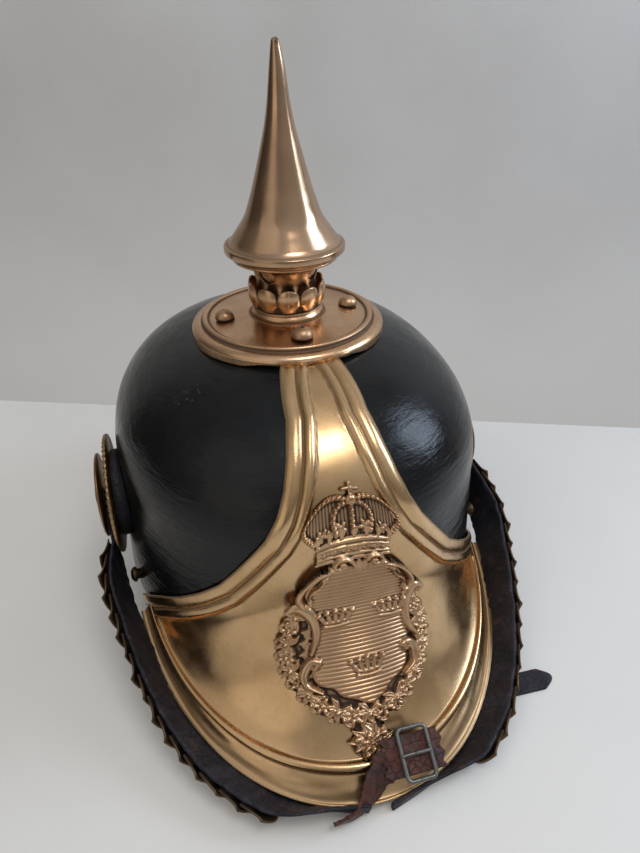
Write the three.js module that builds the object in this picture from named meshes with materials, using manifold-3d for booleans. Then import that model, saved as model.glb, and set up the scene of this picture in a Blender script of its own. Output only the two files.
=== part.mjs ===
// Cavalry helmet: lacquered leather skull, brass front plate and visor, spike, relief badge and chin strap.
// Millimetres, +Z up. The skull's axis is x = y = 0 while it is modelled and its front faces -Y.
import * as THREE from "three";
import { mergeVertices } from "three/addons/utils/BufferGeometryUtils.js";
import Module from "manifold-3d";

const wasm = await Module();
wasm.setup();

const { degToRad, lerp, clamp, smoothstep } = THREE.MathUtils;

// Fits, and the table under the helmet: the visor's rim lies on the strap
const GAP = 0.3;
const TABLE_Z = -4;

// Skull: a superellipse dome above its belt and a slightly flared skirt below it
const SKULL = {
  halfWidth: 99,
  halfLength: 117,
  beltZ: 100,
  domeHeight: 65,
  rimZ: 30,
  skirtHeight: 68,
  flareX: 4,
  flareY: 2,
  backShift: 6,
  power: 2.2,
  wall: 2.5,
};

// Neck guard
const GUARD = { startDeg: 92, fullDeg: 150, endHeight: 4, reach: 25, wall: 2.2 };

// Front plate: half-angle of its edge at each height
const PLATE_SHEET = 0.9;
const PLATE_LIFT = 1.3;
const PLATE_TOP = 160;
const PLATE_CORNER_Z = 32;
const PLATE_WAIST_Z = 78;
const PLATE_EDGE = [
  { z: 32, deg: 67 },
  { z: 40, deg: 61.5 },
  { z: 50, deg: 54.5 },
  { z: 60, deg: 46 },
  { z: 70, deg: 38.5 },
  { z: 80, deg: 32 },
  { z: 90, deg: 27.5 },
  { z: 100, deg: 23.2 },
  { z: 110, deg: 19 },
  { z: 120, deg: 16 },
  { z: 130, deg: 14.2 },
  { z: 140, deg: 13.4 },
  { z: 150, deg: 13.4 },
  { z: 160, deg: 16.8 },
];

// Mouldings along the plate's edge: height at each distance from the edge
const MOULDING = [
  { from: 0, height: 0.6 },
  { from: 1, height: 0 },
  { from: 3.75, height: 1.6 },
  { from: 7.25, height: 0 },
  { from: 10.5, height: 2.2 },
  { from: 13, height: 0 },
];

// Visor: its bead and its rim, swung about a centre in front of the skull's axis
const VISOR_CENTRE_Y = -30;
const VISOR_HALF_DEG = 80;
const VISOR_SIDE_DEG = 76.5;
const VISOR_RISE_POWER = 2.5;
const BEAD = {
  halfWidth: SKULL.halfWidth - 5,
  halfLength: SKULL.halfLength + 11,
  frontZ: 10,
  sideRise: 20,
  height: 2.2,
};
const RIM = {
  halfWidth: SKULL.halfWidth - 0.5,
  halfLength: SKULL.halfLength + 23,
  frontZ: 0,
  sideRise: 24,
  height: 0.5,
};
const RIM_FRONT_Y = VISOR_CENTRE_Y - RIM.halfLength;
const FLARE = { length: 80, fall: 60, outward: 55, down: 35 };

// Spike, neck and base plate: heights are above the base plate's seat
const SEAT_Z = 162;
const METAL_WALL = 1.2;
const BASE = { radius: 50, hole: 14, sheet: 1.1 };
const STUD = { radius: 4.9, height: 4.5, ring: BASE.radius - 17, frontShare: 1.12 };
const PETALS = { count: 10, foot: 12.2, top: 24.3, inner: 15.9, reach: 21.2, turnDeg: -9 };
const VENT = { count: 4, z: 31, halfWidth: 3.6, halfHeight: 4 };

// Ears of the wearer's right; those of the left sit further back and lower
const EAR = {
  y: -11,
  z: 78,
  padRadius: 24,
  padFace: SKULL.halfWidth + 4,
  cockadeRadius: 33,
  bossRadius: 23,
  bossX: SKULL.halfWidth + 10.8,
};
const EAR_LEFT_SHIFT = { x: 0.5, y: 16, z: -10 };
const SIDE_STUD = { y: -42, z: 44, radius: 4.2, length: 6 };

// Chin strap: middle of its outer leather face, lean from upright and width. Its start is measured from the
// ear, under the boss; the rest holds side and ahead as shares of the rim's half width and half length
const STRAP_WALL = 2;
const STRAP_START = {
  left: [
    { under: 1.7, y: 5, z: -2, lean: 0, width: 28 },
    { under: 1.3, y: -17, z: -16, lean: 0, width: 27 },
  ],
  right: [
    { under: 1.2, y: 7, z: -4, lean: 0, width: 28 },
    { under: 0.8, y: -15, z: -26, lean: 0, width: 27 },
  ],
};
const STRAP = [
  { side: 1.098, ahead: 0.129, z: 41, lean: 20, width: 26 },
  { side: 1.041, ahead: 0.286, z: 32, lean: 28, width: 24 },
  { side: 0.977, ahead: 0.436, z: 23, lean: 32, width: 23 },
  { side: 0.899, ahead: 0.568, z: 15, lean: 40, width: 22 },
  { side: 0.808, ahead: 0.686, z: 10, lean: 48, width: 21 },
  { side: 0.69, ahead: 0.801, z: 7, lean: 54, width: 21 },
  { side: 0.571, ahead: 0.888, z: 5, lean: 53, width: 20 },
  { side: 0.467, ahead: 0.949, z: 3.8, lean: 48, width: 19 },
];
const SCALES = { count: 15, first: 29, sheet: 0.8, overlap: 4.5, dome: 1.2, margin: 1.5 };
const STRAP_ENDS = {
  right: [
    { side: 0.335, ahead: 0.986, z: 3.5, lean: 34, width: 18 },
    { side: 0.203, ahead: 1.011, z: 3.5, lean: 22, width: 15 },
    { side: 0.081, ahead: 1.029, z: 2.5, lean: 14, width: 10 },
  ],
  left: [
    { side: 0.315, ahead: 0.986, z: 2, lean: 30, width: 13 },
    { side: 0.162, ahead: 1.011, z: 0.5, lean: 12, width: 8 },
    { side: 0.03, ahead: 1.032, z: -0.6, lean: 6, width: 6 },
  ],
};
const BUCKLE = { x: 17, y: RIM_FRONT_Y + 7, z: 19, length: 16, width: 24, bar: 2.4, thick: 1.8, lean: 32 };
const TAB = { back: 15, front: 13, width: 17.5, droop: 0.012 };
const TAIL = {
  fromX: RIM.halfWidth - 46.5,
  fromY: RIM_FRONT_Y + 40,
  toX: RIM.halfWidth + 11,
  toY: RIM_FRONT_Y + 38.5,
  width: 12,
  thick: 2.1,
  point: 6,
};

// Colours
const LOOKS = {
  lacquer: { color: 0x141416, roughness: 0.25, metalness: 0 },
  leather: { color: 0x1c1b22, roughness: 0.6, metalness: 0 },
  brass: { color: 0xb8914f, roughness: 0.3, metalness: 1 },
  castBrass: { color: 0xa27a4a, roughness: 0.45, metalness: 1 },
  tombac: { color: 0xa8775a, roughness: 0.35, metalness: 1 },
  agedBrass: { color: 0x5c4a33, roughness: 0.5, metalness: 1 },
  steel: { color: 0x7d8380, roughness: 0.45, metalness: 1 },
  brownLeather: { color: 0x3a211c, roughness: 0.75, metalness: 0 },
};

// Straight-line reading of a table whose first column rises
function readTable(rows, key, value, at) {
  let i = 1;
  while (i < rows.length - 1 && rows[i][key] < at) i += 1;
  const share = clamp((at - rows[i - 1][key]) / (rows[i][key] - rows[i - 1][key]), 0, 1);
  return lerp(rows[i - 1][value], rows[i][value], share);
}

function signedPower(value, power) {
  return Math.sign(value) * Math.abs(value) ** power;
}

// Closed solid from a geometry whose vertices are moved by a function
function shaped(geometry, move = (v) => v) {
  const moved = geometry.clone();
  const spots = moved.getAttribute("position");
  for (let i = 0; i < spots.count; i += 1) {
    const spot = move(new THREE.Vector3().fromBufferAttribute(spots, i));
    spots.setXYZ(i, spot.x, spot.y, spot.z);
  }
  moved.deleteAttribute("normal");
  moved.deleteAttribute("uv");
  const merged = mergeVertices(moved, 1e-4);
  const corners = merged.index.array;
  const kept = [];
  for (let i = 0; i < corners.length; i += 3) {
    const [a, b, c] = [corners[i], corners[i + 1], corners[i + 2]];
    if (a !== b && b !== c && a !== c) kept.push(a, b, c);
  }
  const points = new Float32Array(merged.getAttribute("position").array);
  if (signedVolume(points, kept) < 0) kept.reverse();
  return new wasm.Manifold(
    new wasm.Mesh({ numProp: 3, vertProperties: points, triVerts: new Uint32Array(kept) }),
  );
}

function signedVolume(points, corners) {
  const at = (i) => new THREE.Vector3(points[3 * i], points[3 * i + 1], points[3 * i + 2]);
  let sum = 0;
  for (let i = 0; i < corners.length; i += 3) {
    sum += at(corners[i]).dot(at(corners[i + 1]).cross(at(corners[i + 2])));
  }
  return sum;
}

function joined(solids) {
  return solids.reduce((all, next) => all.add(next));
}

// Outer skin of a solid, with any hollow inside it filled
function filled(solid) {
  return solid.decompose().reduce((most, next) => (next.volume() > most.volume() ? next : most));
}

function geometryOf(solid) {
  const { vertProperties, triVerts } = solid.getMesh();
  const geometry = new THREE.BufferGeometry();
  geometry.setAttribute("position", new THREE.BufferAttribute(vertProperties, 3));
  geometry.setIndex(new THREE.BufferAttribute(triVerts, 1));
  geometry.computeVertexNormals();
  return geometry;
}

// Slab from a box: the function gets three shares from 0 to 1 and gives a point
function slab(along, across, layers, point) {
  const box = new THREE.BoxGeometry(1, 1, 1, along, across, layers);
  return shaped(box, (v) => point(v.x + 0.5, v.y + 0.5, v.z + 0.5));
}

// Body turned about +Z from a profile of [radius, height] that closes on itself or ends on the axis
function turned(profile, segments, move = (v) => v) {
  const lathe = new THREE.LatheGeometry(
    profile.map(([radius, height]) => new THREE.Vector2(radius, height)),
    segments,
  );
  return shaped(lathe, (v) => move(new THREE.Vector3(v.x, -v.z, v.y)));
}

// Skull surface at an angle from the front and a height, moved outwards by off
function skullAt(theta, z, off) {
  const rise = clamp((z - SKULL.beltZ) / (SKULL.domeHeight + off), 0, 1);
  const dome = (1 - rise ** SKULL.power) ** (1 / SKULL.power);
  const low = Math.max((SKULL.beltZ - z) / SKULL.skirtHeight, 0);
  const halfX = (SKULL.halfWidth + off) * dome + SKULL.flareX * low;
  const halfY = (SKULL.halfLength + off) * dome + SKULL.flareY * low;
  return new THREE.Vector3(
    halfX * signedPower(Math.sin(theta), 2 / SKULL.power),
    SKULL.backShift * dome - halfY * signedPower(Math.cos(theta), 2 / SKULL.power),
    z,
  );
}

// Height of the dome over a point, and side face of the skull beside a point
function domeHeightAt(x, y) {
  let low = SKULL.beltZ;
  let high = SKULL.beltZ + SKULL.domeHeight;
  for (let i = 0; i < 30; i += 1) {
    const middle = (low + high) / 2;
    if (sideFaceAt(y, middle, 0) > Math.abs(x)) low = middle;
    else high = middle;
  }
  return low;
}

function sideFaceAt(y, z, off) {
  const side = skullAt(Math.PI / 2, z, off);
  const halfY = -skullAt(0, z, off).y + side.y;
  const share = Math.min(Math.abs((y - side.y) / halfY), 1);
  return side.x * (1 - share ** SKULL.power) ** (1 / SKULL.power);
}

function buildSkull(grown = 0) {
  const { beltZ, domeHeight, rimZ, wall } = SKULL;
  const skirt = [1, 0.66, 0.33, 0].map((share) => (z) => beltZ - share * (beltZ - rimZ));
  const side = (off) => [
    ...skirt.map((height) => ({ z: height(), off })),
    ...[14, 30, 45, 58, 70, 80, 90].map((deg) => ({
      z: beltZ + (domeHeight + off) * Math.sin(degToRad(deg)),
      off,
    })),
  ];
  const rows = [...side(-wall).reverse(), ...side(grown)];
  const profile = rows.map((row, i) => new THREE.Vector2(i === 0 || i === rows.length - 1 ? 0 : 1, i));
  return shaped(new THREE.LatheGeometry(profile, 38), (v) => {
    const row = rows[Math.round(v.y)];
    return skullAt(Math.atan2(v.x, v.z), row.z, row.off);
  });
}

function buildNeckGuard() {
  const topZ = SKULL.rimZ - GAP;
  const fullHeight = topZ - TABLE_Z;
  return slab(18, 3, 1, (along, down, through) => {
    const theta = lerp(degToRad(GUARD.startDeg), degToRad(360 - GUARD.startDeg), along);
    const back = Math.min(theta, 2 * Math.PI - theta);
    const grown = smoothstep(back, degToRad(GUARD.startDeg), degToRad(GUARD.fullDeg));
    const height = lerp(GUARD.endHeight, fullHeight, grown);
    const edge = skullAt(theta, topZ, 0);
    const outward = new THREE.Vector3(edge.x, edge.y, 0).normalize();
    const reach = GUARD.reach * grown * down ** 1.6 - GUARD.wall * (1 - through);
    const point = edge.addScaledVector(outward, reach);
    point.z = topZ - height * down;
    return point;
  });
}

// Visor curve at an angle about its own centre
function visorCurve(curve, phi) {
  return new THREE.Vector3(
    curve.halfWidth * Math.sin(phi),
    VISOR_CENTRE_Y - curve.halfLength * Math.cos(phi),
    curve.frontZ + curve.sideRise * Math.abs(phi / degToRad(VISOR_SIDE_DEG)) ** VISOR_RISE_POWER,
  );
}

// Plate's inner face. side runs -1..1 across; row runs 0..1 on the skull, 1..2 down the flare, 2..3 to the rim
function plateFace(side, row) {
  if (row <= 1) {
    const edgeZ = lerp(PLATE_TOP, PLATE_CORNER_Z, row);
    const middleZ = lerp(PLATE_TOP, PLATE_WAIST_Z, row);
    const z = edgeZ + (middleZ - edgeZ) * Math.cos((side * Math.PI) / 2) ** 2;
    return skullAt(side * degToRad(readTable(PLATE_EDGE, "z", "deg", edgeZ)), z, PLATE_LIFT);
  }
  const phi = side * degToRad(VISOR_HALF_DEG);
  const bead = visorCurve(BEAD, phi);
  if (row > 2) return bead.lerp(visorCurve(RIM, phi), row - 2);
  const waist = plateFace(side, 1);
  const scale = waist.distanceTo(bead) / FLARE.length;
  const outward = new THREE.Vector3(Math.sin(phi) / BEAD.halfWidth, -Math.cos(phi) / BEAD.halfLength, 0);
  const theta = side * degToRad(PLATE_EDGE[0].deg);
  const fall = skullAt(theta, waist.z - 1, PLATE_LIFT).sub(skullAt(theta, waist.z, PLATE_LIFT));
  fall.setLength(FLARE.fall * scale);
  const reach = outward.setLength(FLARE.outward * scale).setZ(-FLARE.down * scale);
  const t = row - 1;
  return new THREE.Vector3()
    .addScaledVector(waist, 2 * t ** 3 - 3 * t ** 2 + 1)
    .addScaledVector(fall, t ** 3 - 2 * t ** 2 + t)
    .addScaledVector(bead, -2 * t ** 3 + 3 * t ** 2)
    .addScaledVector(reach, t ** 3 - t ** 2);
}

function plateNormal(side, row) {
  const step = 1e-3;
  const across = plateFace(Math.min(side + step, 1), row).sub(plateFace(Math.max(side - step, -1), row));
  const up = plateFace(side, Math.max(row - step, 0)).sub(plateFace(side, Math.min(row + step, 3)));
  return across.cross(up).normalize();
}

// Lengths along one row of the plate, from its middle to its edge
const rowLengths = new Map();
function rowTable(row) {
  const key = row.toFixed(4);
  if (!rowLengths.has(key)) {
    const table = [{ length: 0, side: 0 }];
    let last = plateFace(0, row);
    for (let i = 1; i <= 40; i += 1) {
      const next = plateFace(i / 40, row);
      table.push({ length: table[i - 1].length + next.distanceTo(last), side: i / 40 });
      last = next;
    }
    rowLengths.set(key, table);
  }
  return rowLengths.get(key);
}

// Point of the plate: millimetres from its middle line, row, and height over its inner face
function onPlate(sideways, row, height) {
  const side = Math.sign(sideways) * readTable(rowTable(row), "length", "side", Math.abs(sideways));
  return plateFace(side, row).addScaledVector(plateNormal(side, row), height);
}

// Rows of the plate down its middle line, by their distance from its top
const middleLine = [{ length: 0, row: 0 }];
for (let i = 1; i <= 240; i += 1) {
  const step = plateFace(0, (i - 1) / 80).distanceTo(plateFace(0, i / 80));
  middleLine.push({ length: middleLine[i - 1].length + step, row: i / 80 });
}

function rowDown(distance) {
  return readTable(middleLine, "length", "row", distance);
}

function buildFrontPlate() {
  const field = [0, 0.03, 0.11, 0.2, 0.3, 0.4, 0.5, 0.6, 0.7, 0.8, 0.88, 0.95, 1];
  const flare = [1.1, 1.25, 1.42, 1.6, 1.78, 1.9, 1.97];
  const rim = [2, 2.16, 2.55, 2.9, 3];
  const rows = [...field, ...flare, ...rim];
  const innerColumns = 6;
  const edges = MOULDING.length - 1;
  const half = edges + innerColumns;
  return slab(2 * half, rows.length - 1, 1, (across, down, through) => {
    const row = rows[Math.round(down * (rows.length - 1))];
    const column = Math.round(across * 2 * half) - half;
    const step = half - Math.abs(column);
    const length = rowTable(row).at(-1).length;
    const moulded = Math.min(MOULDING.at(-1).from, length * 0.8);
    const share = moulded / MOULDING.at(-1).from;
    const fromEdge = step <= edges
      ? MOULDING[step].from * share
      : lerp(moulded, length, (step - edges) / innerColumns);
    const onField = smoothstep(row, 0, 0.03) * (1 - smoothstep(row, 0.96, 1.08));
    const edgeRelief = step <= edges ? MOULDING[step].height * onField : 0;
    const beadRelief = row === 2 ? BEAD.height : 0;
    const rimRelief = row >= 2.9 ? RIM.height : 0;
    const height = through * (PLATE_SHEET + edgeRelief + beadRelief + rimRelief);
    const sideways = Math.sign(column) * (length - fromEdge);
    return onPlate(sideways, row, height);
  });
}

// Badge: places are millimetres to the wearer's left of the middle line and down from a line above the bead
const BADGE_RUN = 199.5;
const BADGE_FOOT = PLATE_SHEET + 0.7;
const BADGE_SHEET = 1.5;
const CARTOUCHE = { x: 3, top: 96, bottom: 168, halfWidth: 23, relief: 2.4 };
const WREATH = { x: 1, y: 141, radiusX: 35, radiusY: 35.5, fromDeg: -34, count: 13, bossWidth: 5, bossHeight: 4.6 };
const CROWN = { x: 1.5, top: 65, bottom: 90, halfTop: 21, halfBottom: 16 };
const PENDANT = { top: 172, bottom: 187, left: -6, right: 5 };
const PENDANT_BOSSES = [
  { x: -6, y: 186, radiusX: 6, radiusY: 4.6, height: 4 },
  { x: 4, y: 186, radiusX: 6, radiusY: 4.6, height: 4 },
  { x: -1, y: 190, radiusX: 4.6, radiusY: 4.2, height: 4.6 },
];
const SMALL_CROWNS = [
  { x: -8, y: 123 },
  { x: 17, y: 123 },
  { x: 3, y: 150 },
];
const SCROLLS = [
  { name: "upper left", points: [[-28, 114], [-22, 117], [-17.5, 124], [-17, 133], [-20, 141]], width: 3.4 },
  { name: "lower left", points: [[-19.5, 146], [-24.5, 150], [-24.5, 156], [-19, 161]], width: 3.2 },
  { name: "upper right", points: [[34, 114], [28.5, 119], [25.5, 127], [26, 137], [29.5, 143]], width: 3.4 },
  { name: "lower right", points: [[23, 147], [27, 151], [26.5, 156], [21, 160]], width: 3.2 },
  { name: "shoulder left", points: [[-9, 95], [-17, 98], [-22, 104], [-23, 110], [-19, 112.5]], width: 3 },
  { name: "shoulder right", points: [[15, 95.5], [22, 99], [27, 105], [29, 111], [25, 114]], width: 3 },
];
const CROWN_ARCHES = [
  { points: [[1.5, 65], [-8, 62.5], [-18, 64], [-21, 69], [-15, 79]], width: 2.6 },
  { points: [[1.5, 65], [11, 62.5], [21, 64], [24, 69], [18, 79]], width: 2.6 },
  { points: [[1.5, 65], [-4, 67], [-5.5, 73], [-3, 79]], width: 2.2 },
  { points: [[1.5, 65], [7, 67], [8.5, 73], [6, 79]], width: 2.2 },
];

function badgeRow(y) {
  return rowDown(y + readTable(middleLine, "row", "length", 2) - BADGE_RUN);
}

// Patch that follows the plate between two outline functions of the share down
function badgePatch(top, bottom, leftEdge, rightEdge, foot, height, downSteps, acrossSteps) {
  return slab(acrossSteps, downSteps, 1, (across, down, through) => {
    const y = lerp(top, bottom, down);
    const sideways = lerp(leftEdge(down), rightEdge(down), across);
    return onPlate(sideways, badgeRow(y), foot + through * height);
  });
}

// Half-round bar along a smooth line on the plate
function badgeBar({ points, width }, foot, height, steps = 4) {
  const line = new THREE.CatmullRomCurve3(points.map(([x, y]) => new THREE.Vector3(x, y, 0)));
  return slab(steps, 2, 1, (along, across, through) => {
    const at = line.getPoint(along);
    const ahead = line.getTangent(along);
    const swell = 0.45 + 0.55 * Math.sin(Math.PI * clamp(along, 0.02, 0.98));
    const offset = (across - 0.5) * width * swell;
    const top = height * (across > 0.4 && across < 0.6 ? 1 : 0.45);
    const x = at.x - ahead.y * offset;
    const y = at.y + ahead.x * offset;
    return onPlate(x, badgeRow(y), foot + through * top);
  });
}

// Low rounded boss
function badgeBoss(x, y, radiusX, radiusY, foot, height) {
  return shaped(new THREE.SphereGeometry(1, 6, 3), (v) =>
    onPlate(x + radiusX * v.x, badgeRow(y + radiusY * v.z), foot + height * Math.max(v.y, -0.05)),
  );
}

function buildBadge() {
  const raised = BADGE_FOOT + BADGE_SHEET - GAP;
  const cartoucheEdge = (down) => CARTOUCHE.halfWidth * (down < 0.72 ? 1 : Math.cos(((down - 0.72) / 0.28) * 1.25));
  const wreathEdge = (down) => Math.sqrt(Math.max(1 - (2 * down - 1) ** 2, 0.04)) * (WREATH.radiusX + 2.5);
  const pieces = [
    badgePatch(
      WREATH.y - 26, WREATH.y + WREATH.radiusY + 1,
      (down) => WREATH.x - wreathEdge(0.14 + 0.86 * down),
      (down) => WREATH.x + wreathEdge(0.14 + 0.86 * down),
      BADGE_FOOT, BADGE_SHEET, 8, 7,
    ),
    badgePatch(
      CARTOUCHE.top, CARTOUCHE.bottom,
      (down) => CARTOUCHE.x - cartoucheEdge(down),
      (down) => CARTOUCHE.x + cartoucheEdge(down),
      BADGE_FOOT, BADGE_SHEET + CARTOUCHE.relief, 7, 5,
    ),
    badgePatch(
      CROWN.top, CROWN.bottom + 8,
      (down) => CROWN.x - lerp(CROWN.halfTop, CROWN.halfBottom, Math.min(down * 1.6, 1)),
      (down) => CROWN.x + lerp(CROWN.halfTop, CROWN.halfBottom, Math.min(down * 1.6, 1)),
      BADGE_FOOT, BADGE_SHEET, 4, 4,
    ),
    badgePatch(
      CROWN.bottom - 9, CROWN.bottom,
      () => CROWN.x - CROWN.halfBottom - 0.6,
      () => CROWN.x + CROWN.halfBottom + 0.6,
      raised, 2.4, 2, 4,
    ),
    badgeBoss(CROWN.x, 64, 2.6, 2.8, raised, 2.6),
    badgeBar({ points: [[CROWN.x, 58.5], [CROWN.x, 61], [CROWN.x, 64]], width: 2 }, raised, 2, 2),
    badgeBar({ points: [[CROWN.x - 3, 60.3], [CROWN.x, 60.3], [CROWN.x + 3, 60.3]], width: 2 }, raised, 2, 2),
    badgeBoss(-4, 94, 4.6, 4, raised, 3),
    badgeBoss(9, 94, 4.6, 4, raised, 3),
    badgePatch(
      PENDANT.top, PENDANT.bottom,
      () => PENDANT.left,
      () => PENDANT.right,
      BADGE_FOOT, BADGE_SHEET, 2, 2,
    ),
  ];
  for (const { x, y, radiusX, radiusY, height } of PENDANT_BOSSES) {
    pieces.push(badgeBoss(x, y, radiusX, radiusY, BADGE_FOOT + 1, height));
  }
  for (const arch of CROWN_ARCHES) pieces.push(badgeBar(arch, raised, 3, 3));
  const onField = BADGE_FOOT + BADGE_SHEET + CARTOUCHE.relief - GAP;
  for (const scroll of SCROLLS) pieces.push(badgeBar(scroll, raised, 4.6));
  for (const { x, y } of SMALL_CROWNS) {
    pieces.push(badgePatch(y - 4, y + 4, () => x - 6.5, () => x + 6.5, onField, 1.5, 1, 1));
  }
  for (let i = 0; i < WREATH.count; i += 1) {
    const turn = degToRad(lerp(WREATH.fromDeg, 180 - WREATH.fromDeg, i / (WREATH.count - 1)));
    const x = WREATH.x + (WREATH.radiusX - 3) * Math.cos(turn);
    const y = WREATH.y + (WREATH.radiusY - 3) * Math.sin(turn);
    pieces.push(badgeBoss(x, y, WREATH.bossWidth, WREATH.bossHeight, raised - 0.6, i % 2 ? 2.6 : 3.6));
  }
  return filled(joined(pieces));
}

function buildBasePlate() {
  const profile = [
    [BASE.radius, 0],
    [BASE.radius, 1.4],
    [BASE.radius - 1.7, 3.4],
    [BASE.radius - 5.5, 5],
    [BASE.radius - 7, 6],
    [BASE.radius - 8.5, 5.8],
    [18.5, 7],
    [BASE.hole, 7],
    [BASE.hole, 7 - BASE.sheet],
    [BASE.radius - 9, 5.8 - BASE.sheet],
    [BASE.radius - 5.5, 3.8],
    [BASE.radius - BASE.sheet, 0],
    [BASE.radius, 0],
  ];
  return turned(profile, 32, (v) => {
    const fromFront = Math.abs(Math.atan2(v.x, -v.y));
    const free = smoothstep(fromFront, degToRad(24), degToRad(40));
    const drop = v.z === 0 ? (SEAT_Z - domeHeightAt(v.x, v.y) - 2 * GAP) * free : 0;
    return v.setZ(SEAT_Z + v.z - Math.max(drop, 0));
  });
}

function buildStud(turnDeg, share) {
  const radius = STUD.radius * share;
  const height = STUD.height * share;
  const profile = [
    [0, 0],
    [radius, 0],
    [radius * 0.94, height * 0.4],
    [radius * 0.66, height * 0.82],
    [0, height],
  ];
  const turn = degToRad(turnDeg);
  const footZ = SEAT_Z + 6.4 + 2 * GAP;
  return turned(profile, 12, (v) =>
    v.add(new THREE.Vector3(STUD.ring * Math.sin(turn), -STUD.ring * Math.cos(turn), footZ)),
  );
}

function buildSpikeNeck() {
  const outer = [
    [18.5, 7 + GAP],
    [18.5, 8.4],
    [17.4, 10],
    [17.4, 11.2],
    [15.3, 11.8],
    [15.3, 25.5],
    [17, 30.5],
    [20, 34.5],
    [26.5, 36.2],
    [26.5, 37.2],
  ];
  const inner = [
    [19, 37.2],
    [18.8, 34.8],
    [15.8, 30.6],
    [15.3 - METAL_WALL, 25.5],
    [15.3 - METAL_WALL, 7 + GAP],
    [18.5, 7 + GAP],
  ];
  const body = turned([...outer, ...inner], 24, (v) => v.setZ(v.z + SEAT_Z));
  const cutters = [];
  for (let i = 0; i < VENT.count; i += 1) {
    const turn = degToRad(45 + (360 / VENT.count) * i);
    const bore = new THREE.CylinderGeometry(1, 1, 14, 10);
    cutters.push(
      shaped(bore, (v) => {
        const out = v.y + 18;
        const side = v.x * VENT.halfWidth;
        const up = SEAT_Z + VENT.z + v.z * VENT.halfHeight;
        return new THREE.Vector3(
          out * Math.sin(turn) + side * Math.cos(turn),
          -out * Math.cos(turn) + side * Math.sin(turn),
          up,
        );
      }),
    );
  }
  return body.subtract(joined(cutters));
}

function buildPetalRing() {
  const { count, foot, top, inner, reach } = PETALS;
  const ring = turned(
    [[inner, foot], [inner + 2.1, foot], [inner + 2.1, foot + 3], [inner, foot + 3], [inner, foot]],
    30,
    (v) => v.setZ(v.z + SEAT_Z),
  );
  const pieces = [ring];
  for (let i = 0; i < count; i += 1) {
    const turn = degToRad(PETALS.turnDeg + (360 / count) * i);
    pieces.push(
      slab(2, 3, 1, (across, up, through) => {
        const halfWidth = 5.2 * Math.sin(Math.PI * lerp(0.22, 0.86, up));
        const side = (across - 0.5) * 2 * halfWidth;
        const bow = 0.9 * (1 - (2 * across - 1) ** 2);
        const radius = lerp(inner + 0.6, reach - 0.9, up ** 1.4) + bow * up + through * 1;
        const z = SEAT_Z + lerp(foot + 0.5, top, up);
        return new THREE.Vector3(
          radius * Math.sin(turn) + side * Math.cos(turn),
          -radius * Math.cos(turn) + side * Math.sin(turn),
          z,
        );
      }),
    );
  }
  return joined(pieces);
}

function buildSpike() {
  const outer = [
    [0, 129.6],
    [0.9, 129.3],
    [1.9, 127.4],
    [3.3, 119.7],
    [4.9, 108],
    [7.5, 94.1],
    [11, 80.4],
    [15.5, 65.8],
    [19.1, 55.7],
    [26.2, 45.2],
    [30, 43],
    [30, 40],
    [27.4, 37.5],
  ];
  const inner = [
    [25, 37.5],
    [25.6, 41],
    [24.4, 44.4],
    [17.6, 54.6],
    [9.4, 80.4],
    [3.4, 108],
    [0, 116],
  ];
  return turned([...outer, ...inner], 22, (v) => v.setZ(v.z + SEAT_Z));
}

// Discs of the ear, modelled on the wearer's left and mirrored for the other side
function earDisc(profile, segments, shift, move = (v) => v) {
  return turned(profile, segments, (v) =>
    move(new THREE.Vector3(v.z + shift.x, EAR.y + shift.y + v.x, EAR.z + shift.z + v.y)),
  );
}

function mirrored(solid) {
  return solid.mirror([1, 0, 0]);
}

function buildEarPad(shift) {
  const profile = [
    [0, 0],
    [EAR.padRadius * 0.4, 0],
    [EAR.padRadius * 0.75, 0],
    [EAR.padRadius, 0],
    [EAR.padRadius, EAR.padFace],
    [0, EAR.padFace],
  ];
  return earDisc(profile, 28, shift, (v) => (v.x === shift.x ? v.setX(sideFaceAt(v.y, v.z, 2 * GAP)) : v));
}

function buildCockade(shift) {
  const face = EAR.padFace + GAP;
  const radius = EAR.cockadeRadius;
  const profile = [
    [0, face],
    [radius, face],
    [radius, face + 1.9],
    [radius - 3, face + 1.9],
    [radius - 4, face + 1],
    [0, face + 1],
  ];
  return earDisc(profile, 28, shift);
}

function buildEarPost(shift) {
  const from = EAR.padFace + 2 * GAP + 1;
  return earDisc([[0, from], [4, from], [4, from + 0.6], [0, from + 0.6]], 12, shift);
}

function buildBoss(shift) {
  const radius = EAR.bossRadius;
  const x = EAR.bossX;
  const profile = [
    [0, x],
    [radius, x],
    [radius, x + 1.1],
    [radius * 0.8, x + 1.8],
    [radius * 0.45, x + 2.4],
    [radius * 0.25, x + 4],
    [0, x + 4.6],
  ];
  return earDisc(profile, 22, shift);
}

function buildSideStud() {
  const { y, z, radius, length } = SIDE_STUD;
  const foot = sideFaceAt(y, z, 0);
  const profile = [[0, 0], [radius * 0.7, 0], [radius * 0.7, length * 0.4], [radius, length * 0.6], [radius * 0.6, length], [0, length]];
  return turned(profile, 12, (v) => {
    const spot = new THREE.Vector3(foot + v.z, y + v.x, z + v.y);
    return v.z === 0 ? spot.setX(sideFaceAt(spot.y, spot.z, GAP)) : spot;
  });
}

function stationsFromEar(side, shift) {
  return STRAP_START[side].map(({ under, y, z, lean, width }) => ({
    x: EAR.bossX + shift.x - under,
    y: EAR.y + shift.y + y,
    z: EAR.z + shift.z + z,
    lean,
    width,
  }));
}

function stationsRoundRim(stations) {
  return stations.map(({ side, ahead, z, lean, width }) => ({
    x: side * RIM.halfWidth,
    y: VISOR_CENTRE_Y - ahead * RIM.halfLength,
    z,
    lean,
    width,
  }));
}

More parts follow.
